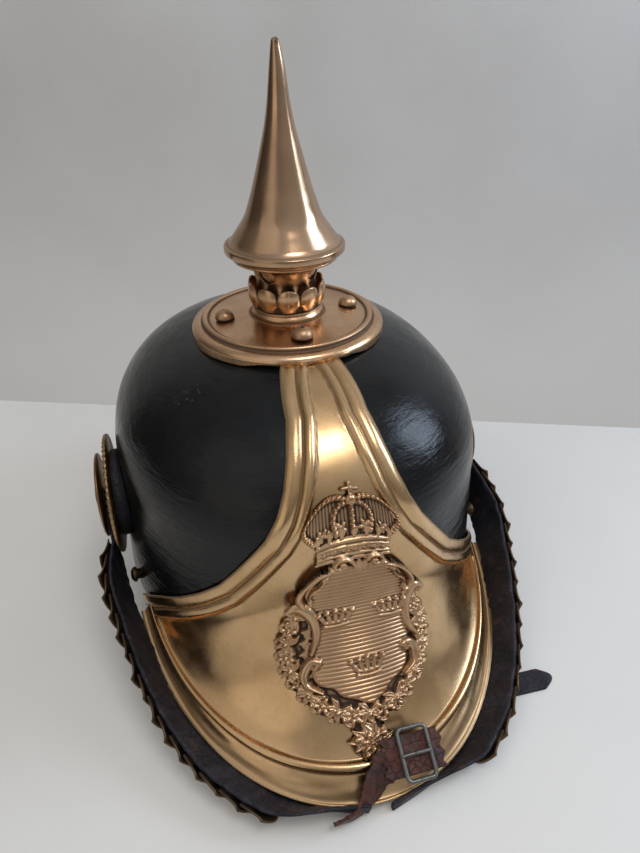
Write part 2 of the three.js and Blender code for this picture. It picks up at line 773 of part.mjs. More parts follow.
// Frame along a strap: where it is, its run, its outward face and its width direction
function strapFrames(stations) {
  const line = new THREE.CatmullRomCurve3(stations.map(({ x, y, z }) => new THREE.Vector3(x, y, z)), false, "centripetal");
  line.arcLengthDivisions = 400;
  const total = line.getLength();
  const places = stations.map((station, i) => {
    let best = 0;
    let least = Infinity;
    for (let share = 0; share <= 1; share += 0.0025) {
      const away = line.getPointAt(share).distanceTo(new THREE.Vector3(station.x, station.y, station.z));
      if (away < least) [best, least] = [share, away];
    }
    return { share: i === 0 ? 0 : best, lean: station.lean, width: station.width };
  });
  return (length) => {
    const share = clamp(length / total, 0, 1);
    const at = line.getPointAt(share);
    const run = line.getTangentAt(share);
    const flatOut = new THREE.Vector3(-run.y, run.x, 0).normalize();
    const flatUp = run.clone().cross(flatOut).normalize();
    const lean = degToRad(readTable(places, "share", "lean", share));
    const out = flatOut.clone().multiplyScalar(Math.cos(lean)).addScaledVector(flatUp, -Math.sin(lean));
    const up = flatUp.multiplyScalar(Math.cos(lean)).addScaledVector(flatOut, Math.sin(lean));
    return { at, run, out, up, width: readTable(places, "share", "width", share), total };
  };
}

// Leather of a strap half
function buildStrap(stations, wall, steps) {
  const frames = strapFrames(stations);
  const { total } = frames(0);
  return slab(steps, 2, 1, (along, across, through) => {
    const { at, out, up, width } = frames(along * total);
    const point = at.clone().addScaledVector(up, (across - 0.5) * width).addScaledVector(out, (through - 1) * wall);
    point.z = Math.max(point.z, TABLE_Z);
    return point;
  });
}

// One brass scale: it starts on the leather and its free end rides over the next one
function buildScale(frames, from, pitch) {
  const { overlap, sheet, dome, margin } = SCALES;
  const slope = (sheet + 1.5 * GAP) / pitch;
  return slab(2, 4, 1, (along, across, through) => {
    const side = 2 * across - 1;
    const tongue = 1 - 0.3 * side ** 2;
    const length = from + along * (pitch + overlap) * lerp(1, tongue, along);
    const { at, out, up, width } = frames(length);
    const lift = 2 * GAP + (length - from) * slope + dome * (1 - side ** 2) + through * sheet;
    const point = at.clone().addScaledVector(up, (side * (width + margin)) / 2).addScaledVector(out, lift);
    point.z = Math.max(point.z, TABLE_Z);
    return point;
  });
}

function buildBuckleFrame() {
  const { length, width, bar, thick } = BUCKLE;
  const outline = new THREE.Shape();
  outline.moveTo(-length / 2, -width / 2);
  outline.lineTo(length / 2, -width / 2);
  outline.lineTo(length / 2, width / 2);
  outline.lineTo(-length / 2, width / 2);
  const window = new THREE.Path();
  window.moveTo(-length / 2 + bar, -width / 2 + bar);
  window.lineTo(length / 2 - bar, -width / 2 + bar);
  window.lineTo(length / 2 - bar, width / 2 - bar);
  window.lineTo(-length / 2 + bar, width / 2 - bar);
  outline.holes.push(window);
  const ring = new THREE.ExtrudeGeometry(outline, { depth: thick, bevelEnabled: false });
  return shaped(ring, (v) => onBuckle(v.x, v.y, v.z));
}

// Buckle frame's own plane: along the strap, across it and off its face
function onBuckle(along, across, off) {
  const lean = degToRad(BUCKLE.lean);
  return new THREE.Vector3(
    BUCKLE.x + along,
    BUCKLE.y + across * Math.cos(lean) - off * Math.sin(lean),
    BUCKLE.z + across * Math.sin(lean) + off * Math.cos(lean),
  );
}

function buildProng() {
  const { length, thick } = BUCKLE;
  return slab(2, 1, 1, (along, across, through) =>
    onBuckle(lerp(-length / 2 + 1, length / 2 - 1, along), (across - 0.5) * 2, thick + GAP + through * 1.4),
  );
}

// Leather tab under the buckle frame, drooping away from it at both ends
function buildTab() {
  const { back, front, width, droop } = TAB;
  return slab(6, 2, 1, (run, across, through) => {
    const along = lerp(-back, front, run);
    const off = -GAP - STRAP_WALL * (1 - through) - droop * Math.max(Math.abs(along) - 8, 0) ** 2;
    return onBuckle(along, (across - 0.5) * width, off);
  });
}

function buildTail() {
  const { fromX, fromY, toX, toY, width, thick, point } = TAIL;
  const run = new THREE.Vector2(toX - fromX, toY - fromY);
  const length = run.length();
  run.normalize();
  const outline = new THREE.Shape();
  outline.moveTo(0, -width / 2);
  outline.lineTo(length - point, -width / 2);
  outline.lineTo(length, -width * 0.12);
  outline.lineTo(length, width * 0.12);
  outline.lineTo(length - point, width / 2);
  outline.lineTo(0, width / 2);
  const strip = new THREE.ExtrudeGeometry(outline, { depth: thick, bevelEnabled: false });
  return shaped(strip, (v) =>
    new THREE.Vector3(fromX + run.x * v.x - run.y * v.y, fromY + run.y * v.x + run.x * v.y, TABLE_Z + v.z),
  );
}

// Scene graph
const helmet = new THREE.Group();
const body = new THREE.Group();
helmet.add(body);

function addPart(name, solid, look) {
  const part = new THREE.Mesh(geometryOf(solid), new THREE.MeshStandardMaterial(LOOKS[look]));
  part.name = name;
  body.add(part);
}

addPart("skull", buildSkull(), "lacquer");
addPart("neck_guard", buildNeckGuard(), "leather");
addPart("front_plate", buildFrontPlate().subtract(buildSkull(GAP)), "brass");
addPart("arms_badge", buildBadge(), "castBrass");
addPart("base_plate", buildBasePlate(), "tombac");
addPart("stud_front", buildStud(0, STUD.frontShare), "tombac");
addPart("stud_left", buildStud(90, 1), "tombac");
addPart("stud_back", buildStud(180, 1), "tombac");
addPart("stud_right", buildStud(270, 1), "tombac");
addPart("spike_neck", buildSpikeNeck(), "tombac");
addPart("petal_ring", buildPetalRing(), "tombac");
addPart("spike", buildSpike(), "brass");
addPart("side_stud_left", buildSideStud(), "agedBrass");
addPart("side_stud_right", mirrored(buildSideStud()), "agedBrass");

const halves = [
  { side: "left", shift: EAR_LEFT_SHIFT, place: (solid) => solid },
  { side: "right", shift: { x: 0, y: 0, z: 0 }, place: mirrored },
];
for (const { side, shift, place } of halves) {
  addPart(`ear_pad_${side}`, place(buildEarPad(shift)), "leather");
  addPart(`cockade_${side}`, place(buildCockade(shift)), "agedBrass");
  addPart(`ear_post_${side}`, place(buildEarPost(shift)), "agedBrass");
  addPart(`boss_${side}`, place(buildBoss(shift)), "agedBrass");
  const scaled = [...stationsFromEar(side, shift), ...stationsRoundRim(STRAP)];
  const leather = buildStrap([...scaled, ...stationsRoundRim(STRAP_ENDS[side])], STRAP_WALL, 22);
  addPart(`strap_${side}`, place(leather), "leather");
  const frames = strapFrames(scaled);
  const pitch = (frames(0).total - SCALES.first - SCALES.overlap) / SCALES.count;
  for (let i = 0; i < SCALES.count; i += 1) {
    const number = String(i + 1).padStart(2, "0");
    addPart(`scale_${side}_${number}`, place(buildScale(frames, SCALES.first + i * pitch, pitch)), "agedBrass");
  }
}
addPart("strap_tab", buildTab(), "brownLeather");
addPart("buckle_frame", buildBuckleFrame(), "steel");
addPart("buckle_prong", buildProng(), "steel");
addPart("strap_tail", buildTail(), "leather");

// Origin: bottom centre of the whole object
const bounds = new THREE.Box3().setFromObject(body);
const centre = bounds.getCenter(new THREE.Vector3());
body.position.set(-centre.x, -centre.y, -bounds.min.z);

export default helmet;
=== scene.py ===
"""Cavalry helmet: lacquered leather skull, brass plate and visor, spike, relief badge and chin strap."""

import bpy
import numpy as np
from mathutils import Matrix, Vector


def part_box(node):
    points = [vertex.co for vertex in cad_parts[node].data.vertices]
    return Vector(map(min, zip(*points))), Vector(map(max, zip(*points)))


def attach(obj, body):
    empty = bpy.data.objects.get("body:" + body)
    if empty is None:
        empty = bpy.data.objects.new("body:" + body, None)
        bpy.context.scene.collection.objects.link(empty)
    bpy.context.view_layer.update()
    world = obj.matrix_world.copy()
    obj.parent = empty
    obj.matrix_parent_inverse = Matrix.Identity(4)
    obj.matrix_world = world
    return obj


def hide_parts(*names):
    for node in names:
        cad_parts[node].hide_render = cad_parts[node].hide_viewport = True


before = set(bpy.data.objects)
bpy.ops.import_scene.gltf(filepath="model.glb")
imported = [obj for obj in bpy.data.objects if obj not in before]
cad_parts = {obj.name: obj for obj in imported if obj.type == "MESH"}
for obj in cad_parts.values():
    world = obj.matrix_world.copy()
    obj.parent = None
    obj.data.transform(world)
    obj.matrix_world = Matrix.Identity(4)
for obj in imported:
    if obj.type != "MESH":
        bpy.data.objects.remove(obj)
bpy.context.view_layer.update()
RANDOM = np.random.default_rng(7)

# Frame: millimetres on the helmet's own axis, front -Y, moved to the CAD's place
SEAT_Z = 162.0
TABLE_Z = -4.0
SPIKE_LOW, SPIKE_HIGH = (np.array(corner) * 1000 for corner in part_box("spike"))
SKULL_LOW = np.array(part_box("skull")[0]) * 1000
RIM_Z = 30.0
SHIFT = np.array([
    (SPIKE_LOW[0] + SPIKE_HIGH[0]) / 2,
    (SPIKE_LOW[1] + SPIKE_HIGH[1]) / 2,
    SKULL_LOW[2] - RIM_Z,
])

# Skull and neck guard; angles run from the front round the wearer's left
BELT_Z, DOME, SKIRT = 100.0, 65.0, 68.0
HALF_W, HALF_L = 99.0, 117.0
FLARE_X, FLARE_Y, BACK_SHIFT = 4.0, 2.0, 6.0
POWER = 2.2
WALL = 2.5
GUARD = {"from": 92, "full": 150, "side_height": 4, "out": 25, "wall": 2.2}
SCUFFS = [
    {"at": (-58, -42, 151), "radius": 6},
    {"at": (-62, -72, 118), "radius": 4},
    {"at": (56, -78, 117), "radius": 5},
    {"at": (80, 40, 130), "radius": 7},
    {"at": (-20, 105, 110), "radius": 8},
]

# Front plate and visor; a row is 0..1 on the skull, 1..2 down the flare, 2..3 from bead to rim
SHEET = 0.9
LIFT = 1.1
# Painted shade and painted reflection of the dark strap on the visor's band between bead and rim
RIM_PAINTED_SHADE = 0.4
PLATE_TOP, CORNER_Z, WAIST_Z = 160.0, 32.0, 78.0
TUCK = -0.012
EDGE_Z = [32, 40, 50, 60, 70, 80, 90, 100, 110, 120, 130, 140, 150, 160]
EDGE_DEG = [67, 61.5, 54.5, 46, 38.5, 32, 27.5, 23.2, 19, 16, 14.2, 13.4, 13.4, 16.8]
MOULDINGS = [
    {"from": 0.3, "width": 6.8, "tall": 1.25, "power": 0.7},
    {"from": 7.3, "width": 5.9, "tall": 2.0, "power": 0.75},
]
GROOVES = [{"at": 0.3, "width": 0.4}, {"at": 7.2, "width": 0.5}, {"at": 13.3, "width": 0.45}]
BEAD_RADIUS = 2.7
VISOR_Y = -30.0
VISOR_HALF, VISOR_SIDE, VISOR_RISE = np.radians(80), np.radians(76.5), 2.5
BEAD = {"x": 94.0, "y": 128.0, "z": 10.0, "rise": 20.0}
RIM = {"x": 98.5, "y": 140.0, "z": 0.0, "rise": 24.0}
FLARE = {"length": 80.0, "fall": 60.0, "out": 55.0, "down": 35.0}

# Ears and strap; a strap's station is x, y, z, lean in degrees, width
MIRROR = {"left": 1, "right": -1}
EAR = {"y": -11.0, "z": 78.0, "pad": 24.0, "face": 103.0, "boss_x": 109.8}
BOSS_PROFILE = [
    (22.9, 0), (23.2, 0.5), (22.9, 1.1), (21.6, 1.0), (20.8, 1.5), (19, 1.9), (14, 2.2),
    (11, 2.6), (8.6, 2.5), (7.9, 3.1), (6, 4.0), (3, 4.5), (0.001, 4.6),
]
EAR_SHIFT = {"left": (0.5, 16.0, -10.0), "right": (0.0, 0.0, 0.0)}
SIDE_STUD = {"y": -42.0, "z": 44.0, "radius": 4.2, "length": 6.0}
STRAP_WALL = 2.0
START = {
    "left": [(108.6, 10, 66, 0, 28), (109, -12, 52, 0, 27)],
    "right": [(108.6, -4, 74, 0, 28), (109, -26, 52, 0, 27)],
}
STRAP = [
    (108.2, -48, 41, 20, 26),
    (102.5, -70, 32, 28, 24),
    (96.2, -91, 23, 32, 23),
    (88.6, -109.5, 15, 40, 22),
    (79.6, -126, 10, 48, 21),
    (68, -142.1, 7, 54, 21),
    (56.2, -154.3, 5, 53, 20),
    (46, -162.8, 3.8, 48, 19),
]
ENDS = {
    "right": [(33, -168, 3.5, 34, 18), (20, -171.5, 3.5, 22, 15), (8, -174, 2.5, 14, 10)],
    "left": [(31, -168, 2, 30, 13), (16, -171.5, 0.5, 12, 8), (3, -174.5, -0.6, 6, 6)],
}
SCALES = {
    "count": 15, "first": 29.0, "sheet": 0.8, "overlap": 4.5, "dome": 1.2, "margin": 1.5,
    "rows": 12, "columns": 23,
}
TABLE_GAP = 0.05
BUCKLE = {"x": 17.0, "y": -163.0, "z": 19.0, "length": 16.0, "width": 24.0, "wire": 1.05, "lean": 32.0}
TORN_TAB = {"back": -15, "front": 13, "width": 17, "top": -0.8, "under": -2.4}
TORN_STRIP = [
    (5, -162.6, 17.4, -58, 15),
    (-1, -166, 13, -48, 13),
    (-7, -170.8, 7.6, -25, 12),
    (-14, -175.2, 4.0, 8, 9),
    (-25, -176, 2.0, 25, 7),
]
TAIL = {"from": (52.0, -130.0), "to": (109.5, -131.5), "width": 12.0, "thick": 2.1, "point": 6.0}


# Meshes

def to_metres(points):
    return (np.asarray(points, float) + SHIFT) / 1000


def add_piece(name, points, faces, look, nodes, tint=None):
    """Smooth mesh with its look, the nodes it replaces and the dirt and painted shade of each point."""
    mesh = bpy.data.meshes.new(name)
    mesh.from_pydata(to_metres(points).tolist(), [], faces)
    mesh.validate()
    mesh.polygons.foreach_set("use_smooth", [True] * len(mesh.polygons))
    if tint is not None:
        layer = mesh.attributes.new("dirt_and_shade", "FLOAT", "POINT")
        layer.data.foreach_set("value", np.asarray(tint, float).ravel())
    mesh.materials.append(LOOKS[look])
    piece = bpy.data.objects.new(name, mesh)
    bpy.context.scene.collection.objects.link(piece)
    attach(piece, "root")
    if nodes:
        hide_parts(*nodes)


def grid_faces(rows, columns, start=0, wrap=False, flip=False):
    faces = []
    for r in range(rows - 1):
        for c in range(columns if wrap else columns - 1):
            d = (c + 1) % columns
            quad = [start + r * columns + c, start + r * columns + d,
                    start + (r + 1) * columns + d, start + (r + 1) * columns + c]
            faces.append(quad[::-1] if flip else quad)
    return faces


def shell(outer, inner):
    """Closed sheet between two grids of points [rows, columns, 3]."""
    rows, columns = outer.shape[:2]
    count = rows * columns
    points = np.concatenate([outer.reshape(-1, 3), inner.reshape(-1, 3)])
    faces = grid_faces(rows, columns) + grid_faces(rows, columns, count, flip=True)
    index = np.arange(count).reshape(rows, columns)
    edge = np.concatenate([index[0, :], index[1:, -1], index[-1, -2::-1], index[-2:0:-1, 0]])
    for a, b in zip(edge, np.roll(edge, -1)):
        faces.append([int(b), int(a), int(a) + count, int(b) + count])
    return points, faces


def turned(profile, segments, move=None):
    """Body of revolution about Z from a closed or open profile of (radius, height)."""
    angle = np.linspace(0, 2 * np.pi, segments, endpoint=False)
    radius = np.array([p[0] for p in profile])[:, None]
    height = np.array([p[1] for p in profile])[:, None] + 0 * angle
    points = np.stack([radius * np.sin(angle), -radius * np.cos(angle), height], -1)
    if move is not None:
        points = move(points)
    return points.reshape(-1, 3), grid_faces(len(profile), segments, wrap=True)


def smooth_profile(points, steps=6):
    """Rounded version of a profile: a spline through its points."""
    return [tuple(p) for p in spline(np.array(points, float), steps)]


def spline(points, steps):
    """Centripetal Catmull-Rom curve through the points."""
    points = np.asarray(points, float)
    padded = np.vstack([2 * points[0] - points[1], points, 2 * points[-1] - points[-2]])
    curve = []
    for i in range(len(points) - 1):
        a, b, c, d = padded[i:i + 4]
        gaps = [max(np.linalg.norm(q - p) ** 0.5, 1e-6) for p, q in ((a, b), (b, c), (c, d))]
        start = ((b - a) / gaps[0] - (c - a) / (gaps[0] + gaps[1]) + (c - b) / gaps[1]) * gaps[1]
        end = ((c - b) / gaps[1] - (d - b) / (gaps[1] + gaps[2]) + (d - c) / gaps[2]) * gaps[1]
        for t in np.arange(steps) / steps:
            curve.append((2 * t**3 - 3 * t**2 + 1) * b + (t**3 - 2 * t**2 + t) * start
                         + (3 * t**2 - 2 * t**3) * c + (t**3 - t**2) * end)
    curve.append(points[-1])
    return np.array(curve)


def ease(value, low, high):
    t = np.clip((value - low) / (high - low), 0, 1)
    return t * t * (3 - 2 * t)


def bell(distance, width):
    return np.exp(-(distance / width) ** 2)


# Surfaces

def signed_power(value, power):
    return np.sign(value) * np.abs(value) ** power


def skull_at(theta, z, off=0.0):
    theta, z = np.broadcast_arrays(np.asarray(theta, float), np.asarray(z, float))
    rise = np.clip((z - BELT_Z) / (DOME + off), 0, 1)
    dome = (1 - rise**POWER) ** (1 / POWER)
    low = np.maximum((BELT_Z - z) / SKIRT, 0)
    x = ((HALF_W + off) * dome + FLARE_X * low) * signed_power(np.sin(theta), 2 / POWER)
    y = BACK_SHIFT * dome - ((HALF_L + off) * dome + FLARE_Y * low) * signed_power(np.cos(theta), 2 / POWER)
    return np.stack([x, y, z], -1)


def side_face_at(y, z, off):
    side = skull_at(np.pi / 2, z, off)
    half = side[..., 1] - skull_at(0.0, z, off)[..., 1]
    share = np.minimum(np.abs((y - side[..., 1]) / half), 1)
    return side[..., 0] * (1 - share**POWER) ** (1 / POWER)


def visor_curve(curve, phi):
    z = curve["z"] + curve["rise"] * np.abs(phi / VISOR_SIDE) ** VISOR_RISE
    return np.stack([curve["x"] * np.sin(phi), VISOR_Y - curve["y"] * np.cos(phi), z], -1)


def unit(vectors):
    return vectors / np.maximum(np.linalg.norm(vectors, axis=-1, keepdims=True), 1e-9)


def plate_face(side, row):
    """Plate's inner face at a side of -1..1 and a row of 0..3."""
    side = np.asarray(side, float)
    if row <= 1:
        edge_z = PLATE_TOP + (CORNER_Z - PLATE_TOP) * row
        middle_z = PLATE_TOP + (WAIST_Z - PLATE_TOP) * row
        z = edge_z + (middle_z - edge_z) * np.cos(side * np.pi / 2) ** 2
        return skull_at(side * np.radians(np.interp(edge_z, EDGE_Z, EDGE_DEG)), z, LIFT)
    phi = side * VISOR_HALF
    bead = visor_curve(BEAD, phi)
    if row > 2:
        return bead + (visor_curve(RIM, phi) - bead) * (row - 2)
    waist = plate_face(side, 1.0)
    scale = np.linalg.norm(waist - bead, axis=-1, keepdims=True) / FLARE["length"]
    theta = side * np.radians(EDGE_DEG[0])
    fall = unit(skull_at(theta, waist[..., 2] - 1, LIFT) - skull_at(theta, waist[..., 2], LIFT))
    out = unit(np.stack([np.sin(phi) / BEAD["x"], -np.cos(phi) / BEAD["y"], 0 * phi], -1)) * FLARE["out"]
    out[..., 2] = -FLARE["down"]
    t = row - 1
    return ((2 * t**3 - 3 * t**2 + 1) * waist + (t**3 - 2 * t**2 + t) * fall * FLARE["fall"] * scale
            + (3 * t**2 - 2 * t**3) * bead + (t**3 - t**2) * out * scale)


def plate_normal(side, row, step=2e-3):
    across = plate_face(np.minimum(side + step, 1), row) - plate_face(np.maximum(side - step, -1), row)
    up = plate_face(side, max(row - step, TUCK)) - plate_face(side, min(row + step, 3))
    return unit(np.cross(across, up))


SIDE_TABLE = np.linspace(0, 1, 81)


def row_lengths(row):
    line = plate_face(SIDE_TABLE, row)
    return np.concatenate([[0], np.cumsum(np.linalg.norm(np.diff(line, axis=0), axis=1))])


def on_plate(sideways, row, height):
    """Points of one row: millimetres from the middle line and over the inner face."""
    sideways = np.asarray(sideways, float)
    side = np.sign(sideways) * np.interp(np.abs(sideways), row_lengths(row), SIDE_TABLE)
    return plate_face(side, row) + plate_normal(side, row) * np.asarray(height)[..., None]


ROW_TABLE = np.linspace(0, 3, 241)
MIDDLE = np.array([plate_face(0.0, row) for row in ROW_TABLE])
DOWN_TABLE = np.concatenate([[0], np.cumsum(np.linalg.norm(np.diff(MIDDLE, axis=0), axis=1))])


def row_down(distance):
    return float(np.interp(distance, DOWN_TABLE, ROW_TABLE))


# Materials

class Nodes:
    """Short way to build a material's node tree."""

    def __init__(self, name):
        self.material = bpy.data.materials.new(name)
        self.material.use_nodes = True
        self.tree = self.material.node_tree
        self.bsdf = self.tree.nodes["Principled BSDF"]
        self.coords = self.tree.nodes.new("ShaderNodeTexCoord").outputs["Object"]

    def link(self, source, socket):
        self.tree.links.new(source, socket)

    def put(self, socket, value):
        if isinstance(value, bpy.types.NodeSocket):
            self.link(value, socket)
        else:
            socket.default_value = value

    def noise(self, scale, detail=4.0, roughness=0.55, stretch=None):
        node = self.tree.nodes.new("ShaderNodeTexNoise")
        node.inputs["Scale"].default_value = scale
        node.inputs["Detail"].default_value = detail
        node.inputs["Roughness"].default_value = roughness
        self.link(self.stretched(stretch), node.inputs["Vector"])
        return node.outputs["Fac"]

    def cells(self, scale):
        node = self.tree.nodes.new("ShaderNodeTexVoronoi")
        node.feature = "DISTANCE_TO_EDGE"
        node.inputs["Scale"].default_value = scale
        self.link(self.coords, node.inputs["Vector"])
        return node.outputs["Distance"]

    def stretched(self, stretch):
        if stretch is None:
            return self.coords
        node = self.tree.nodes.new("ShaderNodeMapping")
        node.inputs["Scale"].default_value = stretch
        self.link(self.coords, node.inputs["Vector"])
        return node.outputs["Vector"]

    def height(self):
        node = self.tree.nodes.new("ShaderNodeSeparateXYZ")
        self.link(self.coords, node.inputs["Vector"])
        return node.outputs["Z"]

    def attribute(self, name):
        node = self.tree.nodes.new("ShaderNodeAttribute")
        node.attribute_name = name
        return node.outputs["Fac"]

    def span(self, value, low, high, to_low=0.0, to_high=1.0):
        node = self.tree.nodes.new("ShaderNodeMapRange")
        node.interpolation_type = "SMOOTHSTEP"
        for key, number in (("From Min", low), ("From Max", high), ("To Min", to_low), ("To Max", to_high)):
            node.inputs[key].default_value = number
        self.link(value, node.inputs["Value"])
        return node.outputs["Result"]

    def math(self, operation, first, second=0.0):
        node = self.tree.nodes.new("ShaderNodeMath")
        node.operation = operation
        node.use_clamp = operation in ("ADD", "MULTIPLY")
        self.put(node.inputs[0], first)
        self.put(node.inputs[1], second)
        return node.outputs[0]

    def mix(self, share, first, second):
        node = self.tree.nodes.new("ShaderNodeMix")
        node.data_type = "RGBA"
        self.put(node.inputs["Factor"], share)
        self.put(node.inputs[6], first)
        self.put(node.inputs[7], second)
        return node.outputs[2]

    def bump(self, height, strength, distance, under=None):
        node = self.tree.nodes.new("ShaderNodeBump")
        node.inputs["Strength"].default_value = strength
        node.inputs["Distance"].default_value = distance
        self.link(height, node.inputs["Height"])
        if under is not None:
            self.link(under, node.inputs["Normal"])
        return node.outputs["Normal"]

    def finish(self, **values):
        for key, value in values.items():
            self.put(self.bsdf.inputs[key.replace("_", " ")], value)
        return self.material


def rgb(red, green, blue):
    return (red, green, blue, 1.0)


def brass_look(name, light, dark, stain, rough, waves, dirt_and_shade=0.9):
    """Worked brass: slow colour drift, tarnish, hairline scratches, and a per-point darkening that is partly
    dirt in its grooves and partly painted shade.
    """
    n = Nodes(name)
    drift = n.span(n.noise(28, 3), 0.35, 0.68)
    spots = n.span(n.noise(240, 6, 0.7), 0.56, 0.8, 0.0, 0.45)
    # Per-point darkening mask: dirt in grooves plus painted shade in the badge's hollows, on the visor band
    # and under overlapping scales
    groove = n.span(n.attribute("dirt_and_shade"), 0.1, 0.9, 0.0, dirt_and_shade)
    clean = n.mix(spots, n.mix(drift, rgb(*light), rgb(*dark)), rgb(*stain))
    # Near-black mix where that mask is high: dirt and painted shade
    colour = n.mix(groove, clean, rgb(0.035, 0.02, 0.012))
    scratches = n.noise(900, 3, 0.6, stretch=(1, 0.08, 0.3))
    smears = n.span(n.noise(60, 5, 0.6), 0.3, 0.75, rough[0], rough[1])
    worn = n.math("ADD", smears, n.math("MULTIPLY", groove, 0.4))
    fine = n.bump(scratches, 0.05, 0.0002)
    slow = n.bump(n.noise(16, 2), waves, 0.004, under=fine)
    return n.finish(Base_Color=colour, Metallic=n.math("SUBTRACT", 1.0, n.math("MULTIPLY", groove, 0.6)),
                    Roughness=worn, Normal=slow)


def lacquer_look():
    """Glossy black lacquer over leather grain, hazed and scuffed with age."""
    n = Nodes("black_lacquer")
    haze = n.span(n.noise(14, 4, 0.6), 0.42, 0.72)
    scuffs = n.span(n.noise(330, 5, 0.75, stretch=(1, 1, 0.45)), 0.69, 0.76)
    patches = n.math("MULTIPLY", scuffs, n.span(n.noise(22, 2), 0.6, 0.72))
    specks = n.span(n.noise(520, 5, 0.8), 0.58, 0.66)
    patches = n.math("ADD", patches, n.math("MULTIPLY", specks, n.attribute("dirt_and_shade")))
    black = n.mix(haze, rgb(0.003, 0.0033, 0.0036), rgb(0.007, 0.0075, 0.008))
    colour = n.mix(patches, black, rgb(0.12, 0.115, 0.11))
    cracks = n.span(n.cells(170), 0.0, 0.03)
    grain = n.bump(n.noise(1300, 4, 0.6), 0.15, 0.0003)
    crackle = n.bump(cracks, 0.08, 0.0004, under=grain)
    streaks = n.bump(n.noise(240, 4, 0.65, stretch=(0.22, 0.22, 1.3)), 0.7, 0.0006, under=crackle)
    waves = n.bump(n.noise(30, 3), 0.14, 0.004, under=streaks)
    gloss = n.span(n.noise(45, 4), 0.3, 0.7, 0.13, 0.27)
    roughness = n.math("ADD", gloss, n.math("MULTIPLY", patches, 0.3))
    return n.finish(Base_Color=colour, Roughness=roughness, Normal=waves, Specular_IOR_Level=0.26)


def leather_look(name, base, light, crack):
    """Aged strap leather: pores, cracks across the strap and pale rubbed flecks."""
    n = Nodes(name)
    tone = n.span(n.noise(70, 5, 0.6), 0.35, 0.7)
    flecks = n.span(n.noise(520, 5, 0.8), 0.66, 0.74)
    cracks = n.span(n.cells(260), 0.0, 0.05)
    rubbed = n.span(n.noise(95, 6, 0.75), 0.57, 0.66, 0.0, 0.75)
    colour = n.mix(rubbed, n.mix(tone, rgb(*base), rgb(*light)), rgb(0.045, 0.022, 0.016))
    colour = n.mix(n.math("MULTIPLY", flecks, 0.5), colour, rgb(0.2, 0.19, 0.19))
    colour = n.mix(n.math("MULTIPLY", n.math("SUBTRACT", 1.0, cracks), 0.5), colour, rgb(*crack))
    pores = n.bump(n.noise(900, 4, 0.65), 0.35, 0.0004)
    folds = n.bump(cracks, 0.5, 0.0008, under=pores)
    waves = n.bump(n.noise(120, 5, 0.6), 0.6, 0.002, under=folds)
    roughness = n.span(n.noise(120, 4), 0.3, 0.7, 0.48, 0.75)
    return n.finish(Base_Color=colour, Roughness=roughness, Normal=waves, Specular_IOR_Level=0.35)


def steel_look():
    n = Nodes("tarnished_steel")
    rust = n.span(n.noise(350, 6, 0.7), 0.55, 0.7)
    colour = n.mix(rust, rgb(0.15, 0.155, 0.145), rgb(0.06, 0.045, 0.035))
    pits = n.bump(n.noise(800, 4, 0.7), 0.3, 0.0004)
    roughness = n.span(rust, 0.0, 1.0, 0.33, 0.6)
    return n.finish(Base_Color=colour, Metallic=0.85, Roughness=roughness, Normal=pits)


LEATHERS = {
    "strap": {
        "name": "strap_leather", "base": (0.006, 0.006, 0.009), "light": (0.018, 0.016, 0.022),
        "crack": (0.003, 0.002, 0.002),
    },
    "brown": {
        "name": "torn_leather", "base": (0.06, 0.018, 0.012), "light": (0.016, 0.011, 0.011),
        "crack": (0.006, 0.003, 0.003),
    },
}
BRASSES = {
    "plate": {
        "name": "plate_brass", "light": (0.64, 0.43, 0.23), "dark": (0.56, 0.36, 0.18),
        "stain": (0.36, 0.2, 0.1), "rough": (0.2, 0.33), "waves": 0.35,
    },
    "cast": {
        "name": "cast_brass", "light": (0.6, 0.4, 0.23), "dark": (0.5, 0.31, 0.18),
        "stain": (0.22, 0.12, 0.07), "rough": (0.25, 0.4), "waves": 0.1, "dirt_and_shade": 1.0,
    },
    "tombac": {
        "name": "rosy_brass", "light": (0.67, 0.435, 0.255), "dark": (0.56, 0.335, 0.185),
        "stain": (0.22, 0.12, 0.08), "rough": (0.22, 0.36), "waves": 0.2,
    },
    "spike": {
        "name": "spike_brass", "light": (0.55, 0.37, 0.235), "dark": (0.45, 0.29, 0.175),
        "stain": (0.3, 0.17, 0.1), "rough": (0.17, 0.29), "waves": 0.2,
    },
    "ear": {
        "name": "ear_brass", "light": (0.4, 0.25, 0.12), "dark": (0.2, 0.125, 0.065),
        "stain": (0.05, 0.035, 0.025), "rough": (0.3, 0.5), "waves": 0.2,
    },
    "aged": {
        "name": "aged_brass", "light": (0.16, 0.105, 0.06), "dark": (0.08, 0.055, 0.035),
        "stain": (0.03, 0.022, 0.018), "rough": (0.4, 0.62), "waves": 0.2,
    },
}
LOOKS = {"lacquer": lacquer_look(), "steel": steel_look()}
LOOKS.update({key: leather_look(**row) for key, row in LEATHERS.items()})
LOOKS.update({key: brass_look(**row) for key, row in BRASSES.items()})


# Skull and neck guard

def build_skull():
    theta = np.linspace(0, 2 * np.pi, 160, endpoint=False)
    rise = np.concatenate([np.linspace(RIM_Z, BELT_Z, 24)[:-1],
                           BELT_Z + DOME * np.sin(np.linspace(0, np.pi / 2, 44))])
    outer = skull_at(theta[None, :], rise[:, None])
    lip = skull_at(theta[None, :], np.array([[RIM_Z]]), -0.6)
    inner_z = np.concatenate([np.linspace(RIM_Z, BELT_Z, 12)[:-1],
                              BELT_Z + (DOME - WALL) * np.sin(np.linspace(0, np.pi / 2, 24))])
    inner = skull_at(theta[None, :], inner_z[:, None], -WALL)
    rows = np.concatenate([inner[::-1], lip, outer])
    points = rows.reshape(-1, 3)
    faces = grid_faces(len(rows), len(theta), wrap=True)
    scuffed = np.zeros(len(points))
    for spot in SCUFFS:
        scuffed += bell(np.linalg.norm(points - spot["at"], axis=1), spot["radius"])
    add_piece("skull_shell", points, faces, "lacquer", ["skull"], np.clip(scuffed, 0, 1))


